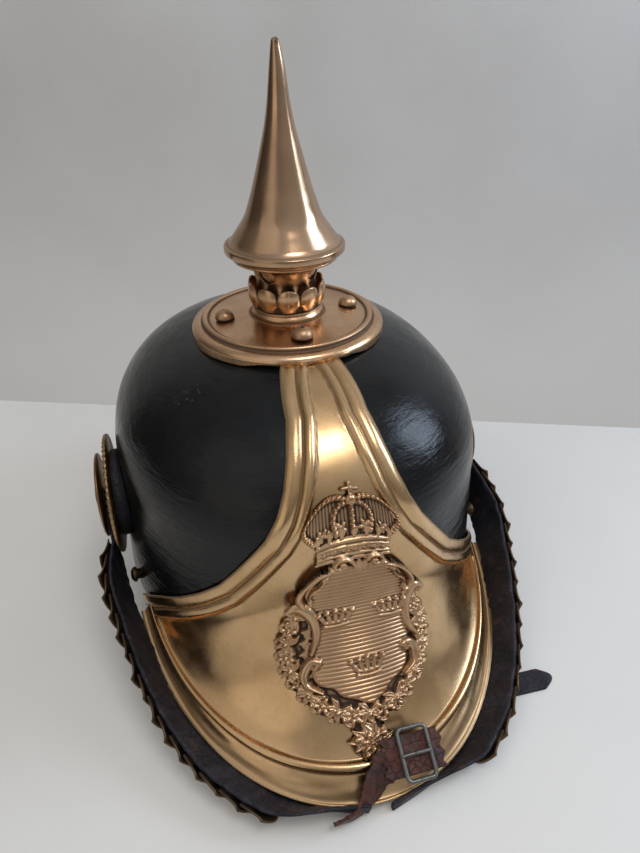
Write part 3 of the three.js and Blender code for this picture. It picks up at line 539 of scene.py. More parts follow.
def build_guard():
    """Leather band that grows from the ears to the back and stands on the table there."""
    top = RIM_Z - 0.3
    theta = np.radians(np.linspace(GUARD["from"], 360 - GUARD["from"], 130))[:, None]
    down = np.linspace(0, 1, 16)[None, :]
    back = np.minimum(theta, 2 * np.pi - theta)
    grown = ease(back, np.radians(GUARD["from"]), np.radians(GUARD["full"]))
    edge = skull_at(theta + 0 * down, top)
    outward = unit(edge * np.array([1, 1, 0]))
    height = GUARD["side_height"] + (top - TABLE_Z - GUARD["side_height"]) * grown
    layers = []
    for inset in (0.0, GUARD["wall"]):
        points = edge + outward * (GUARD["out"] * grown * down**1.6 - inset)[..., None]
        points[..., 2] = top - height * down
        layers.append(points)
    points, faces = shell(*layers)
    add_piece("guard_leather", points, faces, "lacquer", ["neck_guard"])


# Front plate

def moulding(distance):
    """Height and dirt of the edge mouldings by distance from the plate's edge."""
    height, dirt_and_shade = np.zeros(len(distance)), np.zeros(len(distance))
    for row in MOULDINGS:
        share = np.clip((distance - row["from"]) / row["width"], 0, 1)
        height += row["tall"] * np.sin(np.pi * share) ** row["power"]
    for groove in GROOVES:
        dirt_and_shade += bell(distance - groove["at"], groove["width"])
    return height, np.clip(dirt_and_shade, 0, 1)


def from_edge_line(points):
    """Distance from the plate's edge, which is carried straight on past its corner."""
    line = np.array([plate_face(1.0, row) for row in np.linspace(TUCK, 1, 160)])
    line = np.concatenate([line, line[-1] + unit(line[-1] - line[-8]) * np.linspace(2, 40, 12)[:, None]])
    places = points.copy()
    places[:, 0] = np.abs(places[:, 0])
    start, run = line[:-1], np.diff(line, axis=0)
    share = ((places[:, None] - start) * run).sum(-1) / (run**2).sum(-1)
    away = places[:, None] - start - np.clip(share, 0, 1)[..., None] * run
    return np.linalg.norm(away, axis=-1).min(axis=1)


def plate_columns(length):
    """Distances from the plate's side to its other side, closer together over the mouldings."""
    near = np.concatenate([
        [0, 0.3, 0.7, 1.2], np.arange(2, 6.4, 0.8), np.arange(6.6, 14.4, 0.4), np.arange(15, 26, 1.2),
    ])
    squeeze = min(1.0, 0.85 * length / near[-1])
    reach = near[-1] * squeeze
    half = np.concatenate([near * squeeze, reach + (length - reach) * np.linspace(0, 1, 31)[1:]])
    return np.concatenate([half, half[-2::-1]])


def plate_rows():
    stretches = [(TUCK, 1, 192), (1, 1.93, 56), (1.93, 2.26, 34), (2.26, 3, 18)]
    rows = [np.linspace(*stretch)[1:] for stretch in stretches]
    return np.concatenate([[TUCK], *rows])


def build_plate():
    outer, inner, dirt_and_shade = [], [], []
    rows = plate_rows()
    for row in rows:
        length = row_lengths(row)[-1]
        from_side = plate_columns(length)
        columns = len(from_side)
        sideways = np.sign(np.arange(columns) - columns // 2) * (length - from_side)
        flat = np.zeros(columns)
        face = on_plate(sideways, row, flat)
        height, grime = moulding(from_edge_line(face)) if row < 1.6 else (flat, flat)
        bead_size = np.linalg.norm(on_plate(sideways, min(row + 0.01, 3), flat) - face, axis=1) / 0.01
        off_bead = (row - 2) * bead_size
        bead = 2.4 * np.sqrt(np.clip(1 - (off_bead / BEAD_RADIUS) ** 2, 0, 1))
        rim_step = 0.3 * bell(row - 2.95, 0.04)
        dents = 0.12 * np.sin(sideways / 9 + 2 * row) * np.sin(row * 14) * ease(from_side, 13, 24)
        raised = height * ease(row, TUCK, TUCK / 2) + bead + rim_step + dents
        seam = bell(np.abs(off_bead) - 3.1, 0.5)
        outer.append(on_plate(sideways, row, SHEET + raised))
        inner.append(face)
        # The last term paints shade and the dark strap's reflection onto the visor band from bead to rim
        dirt_and_shade.append(np.maximum(grime * 0.8, seam * 0.6) + RIM_PAINTED_SHADE * ease(row, 2.1, 2.9))
    outer, inner = np.array(outer), np.array(inner)
    outer[..., 2] = np.maximum(outer[..., 2], -0.2)
    points, faces = shell(inner, outer)
    tint = np.concatenate([np.zeros(inner.shape[:2]).ravel(), np.array(dirt_and_shade).ravel()])
    add_piece("plate_and_visor", points, faces, "plate", ["front_plate"], tint)


# Badge: a relief drawn in millimetres from the middle line and down from the plate's top
STEP = 0.34
RIB_PITCH = 6 * STEP
BADGE_X = np.arange(-42, 45, STEP)
BADGE_Y = np.arange(56, 200, STEP)
GRID_X, GRID_Y = np.meshgrid(BADGE_X, BADGE_Y)

FIELD = {"x": 3.5, "y": 133, "radius_x": 27, "radius_y": 44, "base": 2.6, "bulge": 2.2, "rib": 0.55}
FIELD_OUTLINE = [
    (-10, 98), (-16, 101), (-20, 107), (-19.5, 113), (-16.5, 118), (-15.5, 127), (-16, 135),
    (-18.5, 142), (-20.5, 150), (-18.5, 157), (-12, 160), (-9, 164), (-3, 166.5), (3, 169.5),
    (9, 166.5), (14, 162), (19, 159.5), (22.5, 155), (23, 148), (25, 142), (24.5, 135), (24, 127),
    (25.5, 120), (27.5, 114), (25.5, 107), (21, 101), (15, 98), (9, 96.5), (4, 99.5), (-2, 96.5),
]
SCROLLS = [
    {"line": [(-27, 116.5), (-29, 113.5), (-26, 112.5), (-21.5, 116.5), (-17.5, 124), (-17, 133), (-20, 141)],
     "wide": 3.1},
    {"line": [(-19.5, 148.5), (-17.5, 146), (-20.5, 145), (-24.5, 150), (-24.5, 156), (-18, 161)],
     "wide": 2.5},
    {"line": [(33, 117), (35, 114), (32, 113), (27.5, 119), (25.2, 127), (26, 137), (29.5, 143)],
     "wide": 3.1},
    {"line": [(23, 149), (21.5, 146.5), (24.5, 146), (27.5, 151), (26.5, 157), (20.5, 161)],
     "wide": 2.5},
    {"line": [(-9, 95.5), (-16, 97), (-21.5, 102), (-23.5, 108), (-21.5, 113), (-18.5, 112), (-19.5, 109.5)],
     "wide": 2.0},
    {"line": [(15, 95.5), (22, 98), (27, 103), (29.5, 109), (28, 114), (25, 114), (25.5, 111)],
     "wide": 2.0},
    {"line": [(-12, 99), (-15, 103), (-18, 105), (-19, 109)],
     "wide": 1.0},
    {"line": [(19, 99), (21, 104), (24, 106), (25.5, 110)],
     "wide": 1.0},
]
CROWN_ARCHES = [
    [(1.5, 65.5), (-6, 62.5), (-14, 62), (-21, 65.5), (-21.5, 70), (-16.5, 79)],
    [(1.5, 65.5), (9, 62.5), (17, 62), (24, 65.5), (24.5, 70), (19.5, 79)],
    [(1.5, 65.5), (-4.5, 67), (-7, 71.5), (-6, 79)],
    [(1.5, 65.5), (7.5, 67), (10, 71.5), (9, 79)],
    [(1.5, 65.5), (1.5, 72), (1.5, 79)],
]
PEARL_PITCH = 2.35
BADGE_GAP = 0.15
SOFTENING = 14
SMALL_CROWNS = [(-8, 124), (17, 124), (3.5, 151.5)]
WREATH = {"x": 1.0, "y": 141.0, "radius_x": 33.0, "radius_y": 34.0, "from": -36.0, "to": 216.0}
relief = np.zeros_like(GRID_X)


def raise_to(height):
    np.maximum(relief, height, out=relief)


def window(low_x, high_x, low_y, high_y):
    columns = slice(*np.searchsorted(BADGE_X, (low_x, high_x)))
    rows = slice(*np.searchsorted(BADGE_Y, (low_y, high_y)))
    return rows, columns


def ridge(line, wide, tall, base=0.0, taper=(1.0, 1.0), groove=0.0, smooth=6):
    """Rounded bar along a line, with its width scaled from one end to the other."""
    path = spline(line, smooth) if smooth else np.asarray(line, float)
    share = np.linspace(0, 1, len(path))
    width = wide * np.interp(share, [0, 0.5, 1], [taper[0], 1, taper[1]])
    low, high = path.min(0) - wide - 1, path.max(0) + wide + 1
    area = window(low[0], high[0], low[1], high[1])
    x, y = GRID_X[area], GRID_Y[area]
    best = np.full(x.shape, 9.0)
    for (ax, ay), (bx, by), w in zip(path[:-1], path[1:], width):
        dx, dy = bx - ax, by - ay
        t = np.clip(((x - ax) * dx + (y - ay) * dy) / max(dx * dx + dy * dy, 1e-9), 0, 1)
        best = np.minimum(best, np.hypot(x - ax - t * dx, y - ay - t * dy) / max(w, 0.05))
    swell = np.sqrt(np.clip(1 - best**2, 0, 1))
    swell = swell * (1 - groove * bell(best, 0.28))
    relief[area] = np.maximum(relief[area], np.where(best < 1, base + tall * swell, 0))


def boss(x, y, radius_x, radius_y, tall, base=0.0, turn=0.0):
    reach = max(radius_x, radius_y) + 1
    area = window(x - reach, x + reach, y - reach, y + reach)
    dx, dy = GRID_X[area] - x, GRID_Y[area] - y
    c, s = np.cos(turn), np.sin(turn)
    away = ((dx * c + dy * s) / radius_x) ** 2 + ((dy * c - dx * s) / radius_y) ** 2
    height = base + tall * np.sqrt(np.clip(1 - away, 0, 1))
    relief[area] = np.maximum(relief[area], np.where(away < 1, height, 0))


def flower(x, y, radius, petals, tall, base, turn=0.0):
    ring = 0.62 * radius
    for i in range(petals):
        a = turn + 2 * np.pi * i / petals
        boss(x + ring * np.cos(a), y + ring * np.sin(a), radius * 0.46, radius * 0.3, tall, base, a)
    boss(x, y, radius * 0.3, radius * 0.3, tall * 1.25, base)


def leaf(x, y, turn, length, wide, tall, base):
    """Pointed leaf with a vein, bent a little to one side."""
    ahead = np.array([np.cos(turn), np.sin(turn)])
    aside = np.array([-ahead[1], ahead[0]])
    start = np.array([x, y])
    line = [start, start + ahead * length * 0.5 + aside * wide * 0.4, start + ahead * length]
    ridge(line, wide, tall, base, taper=(0.45, 0.08), groove=0.4, smooth=4)


def inside_polygon(polygon, x, y):
    inside = np.zeros(x.shape, bool)
    points = np.asarray(polygon, float)
    for (ax, ay), (bx, by) in zip(points, np.roll(points, -1, axis=0)):
        crosses = (ay > y) != (by > y)
        with np.errstate(divide="ignore", invalid="ignore"):
            at = (bx - ax) * (y - ay) / (by - ay) + ax
        inside ^= crosses & (x < at)
    return inside


def field_height(x, y):
    """Height of the cartouche's bulging field without its ribs."""
    away = ((x - FIELD["x"]) / FIELD["radius_x"]) ** 2 + ((y - FIELD["y"]) / FIELD["radius_y"]) ** 2
    return FIELD["base"] + FIELD["bulge"] * np.clip(1 - away, 0, 1)


def draw_cartouche():
    outline = spline(FIELD_OUTLINE + FIELD_OUTLINE[:1], 4)
    inside = inside_polygon(outline, GRID_X, GRID_Y)
    ribs = FIELD["rib"] * np.abs(np.sin(np.pi * (GRID_Y - BADGE_Y[0]) / RIB_PITCH)) ** 0.7
    raise_to(np.where(inside, field_height(GRID_X, GRID_Y) + ribs, 0))
    ridge(outline, 1.0, 1.0, 2.4, smooth=0)
    for scroll in SCROLLS:
        ridge(scroll["line"], scroll["wide"], 2.6, 3.4, taper=(0.5, 0.35))
        boss(*scroll["line"][0], 1.9, 1.7, 2.2, 3.6)


def draw_small_crown(x, y):
    base = field_height(x, y)
    ridge([(x - 5, y + 4), (x, y + 4.4), (x + 5, y + 4)], 1.0, 1.1, base + 0.8, smooth=3)
    ridge([(x - 5, y + 1.8), (x, y + 2.2), (x + 5, y + 1.8)], 0.8, 1.0, base + 0.8, smooth=3)
    for spread, rise in ((-1, 0.0), (-0.5, 0.6), (0, 1.0), (0.5, 0.6), (1, 0.0)):
        tip = (x + spread * 7.4, y - 3.0 - rise)
        ridge([(x + spread * 4.6, y + 2), tip], 0.8, 1.0, base + 0.7, taper=(1.3, 0.7), smooth=2)
        boss(tip[0], tip[1], 1.3, 1.3, 1.5, base + 0.8)


def draw_crown():
    x = GRID_X - 1.5
    half = np.interp(GRID_Y, [61, 66, 70, 79, 82], [19, 22, 21.5, 17.5, 16.5])
    body = (np.abs(x) < half) & (GRID_Y > 63.5 + 2.2 * np.cos(x / 5)) & (GRID_Y < 82)
    raise_to(np.where(body, 0.8 + 0.35 * np.abs(np.sin(1.9 * x)), 0))
    for line in CROWN_ARCHES:
        ridge(line, 1.3, 0.6, 1.4)
        path = spline(line, 8)
        gaps = np.concatenate([[0], np.cumsum(np.linalg.norm(np.diff(path, axis=0), axis=1))])
        for at in np.arange(1.3, gaps[-1] - 1, PEARL_PITCH):
            boss(np.interp(at, gaps, path[:, 0]), np.interp(at, gaps, path[:, 1]), 1.05, 1.05, 1.7, 1.9)
    for spread in (-12.5, -4, 7, 15.5):
        flower(spread, 76.5, 3.2, 5, 1.2, 1.2, 0.4)
    for spread in (-15, -9.5, -4, 1.5, 7, 12.5, 18):
        leaf(spread, 80.5, -np.pi / 2, 5.0, 1.6, 1.4, 1.4)
    band = (np.abs(x) < 16.8) & (GRID_Y > 80.5) & (GRID_Y < 91.5)
    raise_to(np.where(band, 1.8, 0))
    for y, wide in ((81.5, 1.0), (84.0, 0.6), (88.4, 0.6), (90.8, 1.1)):
        ridge([(-15.4, y), (1.5, y + 0.9), (18.4, y)], wide, 1.1, 1.9, smooth=4)
    for i, spread in enumerate(np.linspace(-12, 15, 7)):
        boss(spread, 86.6, 1.9 if i % 2 else 1.2, 1.2, 1.3, 1.7)
    boss(1.5, 64.6, 2.5, 2.3, 2.2, 1.8)
    ridge([(1.5, 58), (1.5, 62.5)], 0.85, 1.0, 1.9, smooth=1)
    ridge([(-1.5, 60.2), (4.5, 60.2)], 0.85, 1.0, 1.9, smooth=1)
    neck = (np.abs(x - 1) < 13) & (GRID_Y > 90) & (GRID_Y < 99)
    raise_to(np.where(neck, 0.9, 0))
    for centre, turn in ((-4.5, 1), (11, -1)):
        angles = np.linspace(0.3, 2.1 * np.pi, 16)
        radius = 5.0 - 0.55 * angles
        across = centre + 0.9 * turn * radius * np.cos(angles)
        down = 93.6 - 0.8 * radius * np.sin(angles)
        ridge(np.column_stack([across, down]), 1.05, 1.8, 3.4, smooth=2)
        boss(centre, 93.4, 1.3, 1.3, 1.7, 3.5)
    for lean in (-0.5, 0, 0.5):
        leaf(3.3, 99.5, -np.pi / 2 + lean, 7.5, 1.4, 1.8, 2.2)


def draw_wreath():
    x = (GRID_X - WREATH["x"]) / (WREATH["radius_x"] + 4.2)
    y = (GRID_Y - WREATH["y"]) / (WREATH["radius_y"] + 4.2)
    edge = 1 + 0.02 * np.cos(26 * np.arctan2(y, x))
    ring = (np.hypot(x, y) < edge) & (GRID_Y > 112 + 0.08 * np.abs(GRID_X))
    raise_to(np.where(ring, 1.0, 0))
    angles = np.radians(np.linspace(WREATH["from"], WREATH["to"], 21))
    for i, a in enumerate(angles):
        cx = WREATH["x"] + WREATH["radius_x"] * np.cos(a)
        cy = WREATH["y"] + WREATH["radius_y"] * np.sin(a)
        if i % 2:
            flower(cx, cy, 4.7, 5 + i % 3, 2.3, 1.7, a)
        else:
            for spread in (-2.2, -1.2, -0.3, 0.6, 1.5, 2.4):
                leaf(cx - np.cos(a) * 1.2, cy - np.sin(a) * 1.2, a + spread, 6.2, 1.65, 2.6, 1.4)
            boss(cx, cy, 1.5, 1.5, 2.4, 2.2)
        for side, spread in ((-1, 2.6), (1, -0.5)):
            b = a + side * np.radians(5.8)
            bx = WREATH["x"] + (WREATH["radius_x"] + spread) * np.cos(b)
            by = WREATH["y"] + (WREATH["radius_y"] + spread) * np.sin(b)
            leaf(bx, by, b + side * 1.1, 5.0, 1.5, 2.2, 1.3)
            boss(bx, by, 1.1, 1.1, 2.3, 1.8)
        if abs(np.degrees(a) - 90) > 40:
            for reach, lean in ((-6.5, 2.6), (-7.5, 3.6), (-10.5, 2.9), (-11.5, 4.0)):
                ix = WREATH["x"] + (WREATH["radius_x"] + reach) * np.cos(a)
                iy = WREATH["y"] + (WREATH["radius_y"] + reach) * np.sin(a)
                leaf(ix, iy, a + lean, 4.8, 1.5, 1.9, 1.2)


def draw_pendant():
    low = ((GRID_X + 0.5) / 9.5) ** 2 + ((GRID_Y - 187.5) / 7.0) ** 2 < 1
    raise_to(np.where(low | ((np.abs(GRID_X + 0.5) < 6) & (GRID_Y > 172) & (GRID_Y < 186)), 1.0, 0))
    for spread in np.linspace(-2.9, -0.25, 6):
        leaf(-0.5, 188.5, spread, 10.5, 2.4, 2.6, 1.3)
    for spread in (0.3, 1.0, 1.57, 2.1, 2.8):
        leaf(-0.5, 187.5, spread, 8.0, 2.0, 2.4, 1.3)
    flower(-0.5, 187.5, 5.2, 6, 2.6, 2.2, 0.3)
    for cx, cy in ((-6.5, 185), (5.5, 184.5), (-3, 192.5), (3, 192)):
        boss(cx, cy, 2.1, 1.8, 2.2, 2.6)


def build_badge():
    draw_wreath()
    draw_pendant()
    draw_cartouche()
    draw_crown()
    for x, y in SMALL_CROWNS:
        draw_small_crown(x, y)
    soft = relief.copy()
    for _ in range(SOFTENING):
        soft[1:-1, 1:-1] = (soft[:-2, 1:-1] + soft[2:, 1:-1] + soft[1:-1, :-2] + soft[1:-1, 2:]) / 4
    # Painted shade: darker in the relief's hollows and on its low ground near the plate
    cavity_shade = np.clip(soft - relief, 0, 1) + np.clip(1.5 - relief, 0, 0.8)
    keep = relief > 0.2
    used = keep.copy()
    used[1:] |= keep[:-1]
    used[:, 1:] |= keep[:, :-1]
    used[1:, 1:] |= keep[:-1, :-1]
    height = SHEET + BADGE_GAP + relief
    points = np.array([on_plate(BADGE_X, row_down(y), height[i]) for i, y in enumerate(BADGE_Y)])
    number = -np.ones(keep.shape, int)
    number[used] = np.arange(used.sum())
    faces = []
    for r, c in zip(*np.nonzero(keep[:-1, :-1])):
        corners = (r + 1, c), (r + 1, c + 1), (r, c + 1), (r, c)
        faces.append([int(number[corner]) for corner in corners])
    add_piece("arms_relief", points[used], faces, "cast", ["arms_badge"], cavity_shade[used])


# Top fittings
STUD_RING = 33
STUDS = [
    {"name": "front", "turn": 0, "share": 1.12, "crown": [(0.8, 3.7), (0.001, 3.2)], "worn": 0.5},
    {"name": "left", "turn": 90, "share": 1.0, "crown": [(0.8, 4.3), (0.001, 4.4)], "worn": 0.0},
    {"name": "back", "turn": 180, "share": 1.0, "crown": [(0.8, 4.3), (0.001, 4.4)], "worn": 0.0},
    {"name": "right", "turn": 270, "share": 1.0, "crown": [(0.8, 4.3), (0.001, 4.4)], "worn": 0.0},
]
VENTS = {"turns": (45, 135, 225, 315), "z": 30.2, "half_width": 3.7, "half_height": 3.3}
PETALS = {
    "count": 10, "foot": 12.2, "valley": 18.6, "crest": 5.7, "radius": 17.0, "lean": 1.6, "bulge": 2.3,
    "wall": 0.8,
}


def on_seat(points):
    return points + np.array([0, 0, SEAT_Z])


def dome_height(x, y):
    low = np.full(np.shape(x), BELT_Z)
    high = np.full(np.shape(x), BELT_Z + DOME)
    for _ in range(24):
        middle = (low + high) / 2
        inside = side_face_at(y, middle, 0.0) > np.abs(x)
        low, high = np.where(inside, middle, low), np.where(inside, high, middle)
    return low


def build_base_plate():
    top = smooth_profile([(50, 0.5), (50, 1.6), (48.9, 3.1), (47.1, 4.0), (45.6, 4.1), (44.9, 3.9)], 5)
    bead = [(43.0 + 1.5 * np.cos(a), 5.0 + 1.5 * np.sin(a)) for a in np.linspace(-0.4, 3.0, 14)]
    middle = smooth_profile([(41.2, 5.2), (34, 5.9), (26, 6.6), (19.5, 7.0)], 4)
    under = [(14, 7.0), (14, 5.9), (41, 4.5), (44.5, 3.2), (48.9, 0.0)]
    profile = [(48.9, 0.0), (50, 0.0)] + top + bead + middle + under

    def follow(points):
        drop = SEAT_Z - dome_height(points[..., 0], points[..., 1]) - 0.7
        front = np.abs(np.arctan2(points[..., 0], -points[..., 1]))
        drop = np.maximum(drop * ease(front, np.radians(24), np.radians(40)), 0)
        dents = 0.4 * (1 - ease(front, np.radians(18), np.radians(32))) * np.sin(front * 22)
        points[..., :2] *= 1 + (dents * (points[..., 2] < 1.7) / 50)[..., None]
        points[..., 2] -= np.where(points[..., 2] < 0.7, drop, 0)
        return on_seat(points)

    points, faces = turned(profile, 128, follow)
    radius = np.hypot(points[:, 0], points[:, 1])
    dirt_and_shade = bell(radius - 41.3, 0.6) + bell(radius - 44.8, 0.7) + bell(radius - 19, 0.9)
    add_piece("round_base", points, faces, "tombac", ["base_plate"], np.clip(dirt_and_shade, 0, 1))


def build_studs():
    for stud in STUDS:
        dome = [(4.9 * np.cos(a), 0.7 + 3.8 * np.sin(a)) for a in np.linspace(0.05, 1.4, 14)]
        points, faces = turned([(0.001, 0), (4.7, 0), (4.95, 0.4)] + dome + stud["crown"], 40)
        turn = np.radians(stud["turn"])
        foot = np.array([STUD_RING * np.sin(turn), -STUD_RING * np.cos(turn), SEAT_Z + 6.45])
        dirt_and_shade = 0.3 + 0.65 * bell(points[:, 2] - 0.3, 0.4)
        dirt_and_shade += stud["worn"] * (np.hypot(points[:, 0], points[:, 1]) < 1.2)
        add_piece(f"dome_stud_{stud['name']}", points * stud["share"] + foot, faces, "cast",
                  [f"stud_{stud['name']}"], dirt_and_shade)


def build_neck():
    outer = smooth_profile([(18.5, 7.2), (18.6, 8.2), (17.8, 9.4), (17.3, 10.0)], 3)
    outer += [(17.6 + 0.4 * np.cos(a), 10.7 + 0.6 * np.sin(a)) for a in np.linspace(-1.2, 1.2, 6)]
    outer += [(16.4, 11.6), (15.3, 12)]
    outer += smooth_profile([(15.2, 24.8), (16.6, 29.8), (19.2, 33.6), (22.5, 35.4), (26.4, 36.1)], 7)
    profile = outer + [(26.6, 37.2), (19, 37.2), (18, 34.2), (14.2, 25.5), (14.2, 7.2), (18.5, 7.2)]
    segments = 160
    points, faces = turned(profile, segments, on_seat)
    turn = np.arctan2(points[:, 0], -points[:, 1])
    high = points[:, 2] - SEAT_Z
    radius = np.hypot(points[:, 0], points[:, 1])
    vent = np.full(len(points), 9.0)
    for middle in np.radians(VENTS["turns"]):
        away = (turn - middle + np.pi) % (2 * np.pi) - np.pi
        across = away * radius / VENTS["half_width"]
        vent = np.minimum(vent, np.hypot(across, (high - VENTS["z"]) / VENTS["half_height"]))
    kept = [f for f in faces if min(vent[i] for i in f) > 1 or high[f[0]] < 25.6]
    dirt_and_shade = bell(vent - 1.0, 0.25) * (high > 25) + bell(high - 11.6, 0.5)
    add_piece("pierced_neck", points, kept, "tombac", ["spike_neck"], np.clip(dirt_and_shade, 0, 1))


def build_petals():
    """Ring of rounded, bulging petals that overlap at their sides."""
    half = 180 / PETALS["count"]
    turns = np.radians(np.arange(0, 360, 0.9) - half / 2)
    up = np.linspace(0, 1, 40)[:, None]
    phase = ((np.degrees(turns) + 1.5 * half) % (2 * half) - half) / half
    crest = np.sqrt(np.clip(1 - np.abs(phase) ** 2.2, 0, 1))[None, :]
    top = PETALS["valley"] + PETALS["crest"] * crest
    height = PETALS["foot"] + (top - PETALS["foot"]) * up
    wide = np.interp(up, [0, 0.4, 0.75, 1], [0.62, 1.0, 1.0, 0.9])
    lobe = np.sqrt(np.clip(1 - (phase[None, :] / wide) ** 2, 0, 1))
    lobe = lobe * np.sin(np.pi * (0.12 + 0.83 * up)) ** 0.6
    radius = PETALS["radius"] + PETALS["lean"] * up + PETALS["bulge"] * lobe
    layers = []
    for inset in (0.0, PETALS["wall"]):
        r = radius - inset
        layers.append(np.stack([r * np.sin(turns), -r * np.cos(turns), height + SEAT_Z + 0 * r], -1))
    outer, inner = (np.concatenate([layer, layer[:, :1]], axis=1) for layer in layers)
    points, faces = shell(outer, inner)
    gap = np.clip(1 - lobe / 0.45, 0, 1)
    tint = np.concatenate([gap, gap[:, :1]], axis=1).ravel()
    add_piece("petal_crown", points, faces, "tombac", ["petal_ring"], np.concatenate([tint, tint]))


def build_spike():
    cone = smooth_profile([
        (26.6, 45.0), (22.8, 50.3), (19.1, 55.9), (15.4, 65.8), (12.4, 75.6), (9.8, 85), (7.4, 94.1),
        (5.6, 102.9), (4.4, 111.4), (3.3, 119.7), (2.1, 126.6),
    ], 7)
    tip = [(1.9 * np.cos(a), 127.6 + 1.9 * np.sin(a)) for a in np.linspace(0, np.pi / 2 - 0.05, 7)]
    rim = [
        (25.2, 37.5), (27.2, 37.5), (27.5, 37.9), (27.6, 39.0), (29.5, 39.4), (29.95, 39.8),
        (30, 40.2), (30, 42.3), (29.9, 42.7), (29.5, 42.95), (28.9, 43.2), (28.4, 43.5),
    ]
    profile = [(25.4, 41.5)] + rim + cone + tip
    points, faces = turned(profile, 128, on_seat)
    high = points[:, 2] - SEAT_Z
    points[:, 0] -= 0.35 * ease(high, 118, 129)
    dirt_and_shade = 0.7 * bell(high - 43.6, 0.5) + bell(high - 38.9, 0.5)
    dirt_and_shade += ease(high, 124, 129) * (np.sin(3 * np.arctan2(points[:, 1], points[:, 0])) > 0.2)
    add_piece("tall_spike", points, faces, "spike", ["spike"], np.clip(dirt_and_shade, 0, 1))


# Ears

def ear_points(points, shift, mirror):
    placed = np.stack([points[..., 2] + shift[0], EAR["y"] + shift[1] + points[..., 0],
                       EAR["z"] + shift[2] + points[..., 1]], -1)
    placed[..., 0] *= mirror
    return placed


def mirrored_faces(faces, mirror):
    return faces if mirror > 0 else [face[::-1] for face in faces]


def roped(points):
    """The cockade's rope, rippled on its face and its edge."""
    radius = np.hypot(points[..., 0], points[..., 1])
    turn = np.arctan2(points[..., 0], points[..., 1])
    rope = (radius > 29.2) * 0.35 * np.sin(54 * turn + radius * 1.1)
    points[..., 2] += rope * (points[..., 2] > EAR["face"] + 0.6)
    points[..., :2] *= 1 + 0.006 * (radius > 32)[..., None] * np.sin(54 * turn)[..., None]
    return points


def build_ears():
    face, pad, boss_x = EAR["face"], EAR["pad"], EAR["boss_x"]
    leather = [(0.001, 0), (pad * 0.5, 0), (pad * 0.8, 0), (pad, 0), (pad, face - 0.7), (pad - 0.6, face),
               (0.001, face)]
    rope = [(30.9 + 1.9 * np.cos(a), face + 1.15 + np.sin(a)) for a in np.linspace(-0.4, np.pi + 0.2, 12)]
    cockade = [(0.001, face + 0.3), (32.6, face + 0.3)] + rope
    cockade += [(28, face + 1.1), (20, face + 0.9), (0.001, face + 0.9)]
    post = [(0.001, face + 1.2), (4, face + 1.2), (4, face + 6.3), (0.001, face + 6.3)]
    dome = [(0.001, boss_x)] + [(radius, boss_x + height) for radius, height in BOSS_PROFILE]
    for side, mirror in MIRROR.items():
        shift = EAR_SHIFT[side]

        def against_skull(points):
            flat = points[..., 2] < 1
            y = EAR["y"] + shift[1] + points[..., 0]
            z = EAR["z"] + shift[2] + points[..., 1]
            points[..., 2] = np.where(flat, side_face_at(y, z, 0.3) - shift[0], points[..., 2])
            return points

        def disc(name, node, profile, segments, look, move=None):
            points, faces = turned(profile, segments, move)
            tint = 0.25 * np.random.default_rng(3).random(len(points))
            add_piece(f"{name}_{side}", ear_points(points, shift, mirror), mirrored_faces(faces, mirror),
                      look, [f"{node}_{side}"], tint)

        disc("leather_pad", "ear_pad", leather, 72, "strap", against_skull)
        disc("cockade_disc", "cockade", cockade, 324, "ear", roped)
        disc("post", "ear_post", post, 32, "aged")
        disc("round_boss", "boss", dome, 72, "ear")
        build_side_stud(side, mirror)


def build_side_stud(side, mirror):
    y, z, radius, length = (SIDE_STUD[key] for key in ("y", "z", "radius", "length"))
    foot = float(side_face_at(np.array(y), np.array(z), 0.0))
    profile = [(0.001, 0), (radius * 0.7, 0), (radius * 0.62, length * 0.4), (radius, length * 0.55),
               (radius * 0.95, length * 0.75), (radius * 0.55, length * 0.98), (0.001, length)]
    points, faces = turned(profile, 32)
    low = points[:, 2] == 0
    placed = np.stack([foot + points[:, 2], y + points[:, 0], z + points[:, 1]], -1)
    placed[low, 0] = side_face_at(placed[low, 1], placed[low, 2], 0.2)
    placed[:, 0] *= mirror
    add_piece(f"side_knob_{side}", placed, mirrored_faces(faces, mirror), "aged",
              [f"side_stud_{side}"], np.zeros(len(points)))


# Chin strap

class StrapLine:
    """A strap's middle line by its length, with its lean and width."""

    def __init__(self, stations):
        stations = np.array(stations, float)
        self.path = spline(stations[:, :3], 30)
        steps = np.linalg.norm(np.diff(self.path, axis=0), axis=1)
        self.along = np.concatenate([[0], np.cumsum(steps)])
        self.total = self.along[-1]
        marks = self.along[::30]
        self.lean = np.interp(self.along, marks, stations[:, 3])
        self.wide = np.interp(self.along, marks, stations[:, 4])

    def place(self, length):
        return np.stack([np.interp(length, self.along, self.path[:, i]) for i in range(3)], -1)

    def at(self, length):
        """Place, outward face, width direction and width at a length along the strap."""
        length = np.clip(length, 0, self.total)
        run = unit(self.place(np.minimum(length + 0.5, self.total)) - self.place(np.maximum(length - 0.5, 0)))
        flat_out = unit(np.stack([-run[..., 1], run[..., 0], 0 * run[..., 0]], -1))
        flat_up = np.cross(run, flat_out)
        lean = np.radians(np.interp(length, self.along, self.lean))[..., None]
        out = flat_out * np.cos(lean) - flat_up * np.sin(lean)
        up = flat_up * np.cos(lean) + flat_out * np.sin(lean)
        return self.place(length), out, up, np.interp(length, self.along, self.wide)


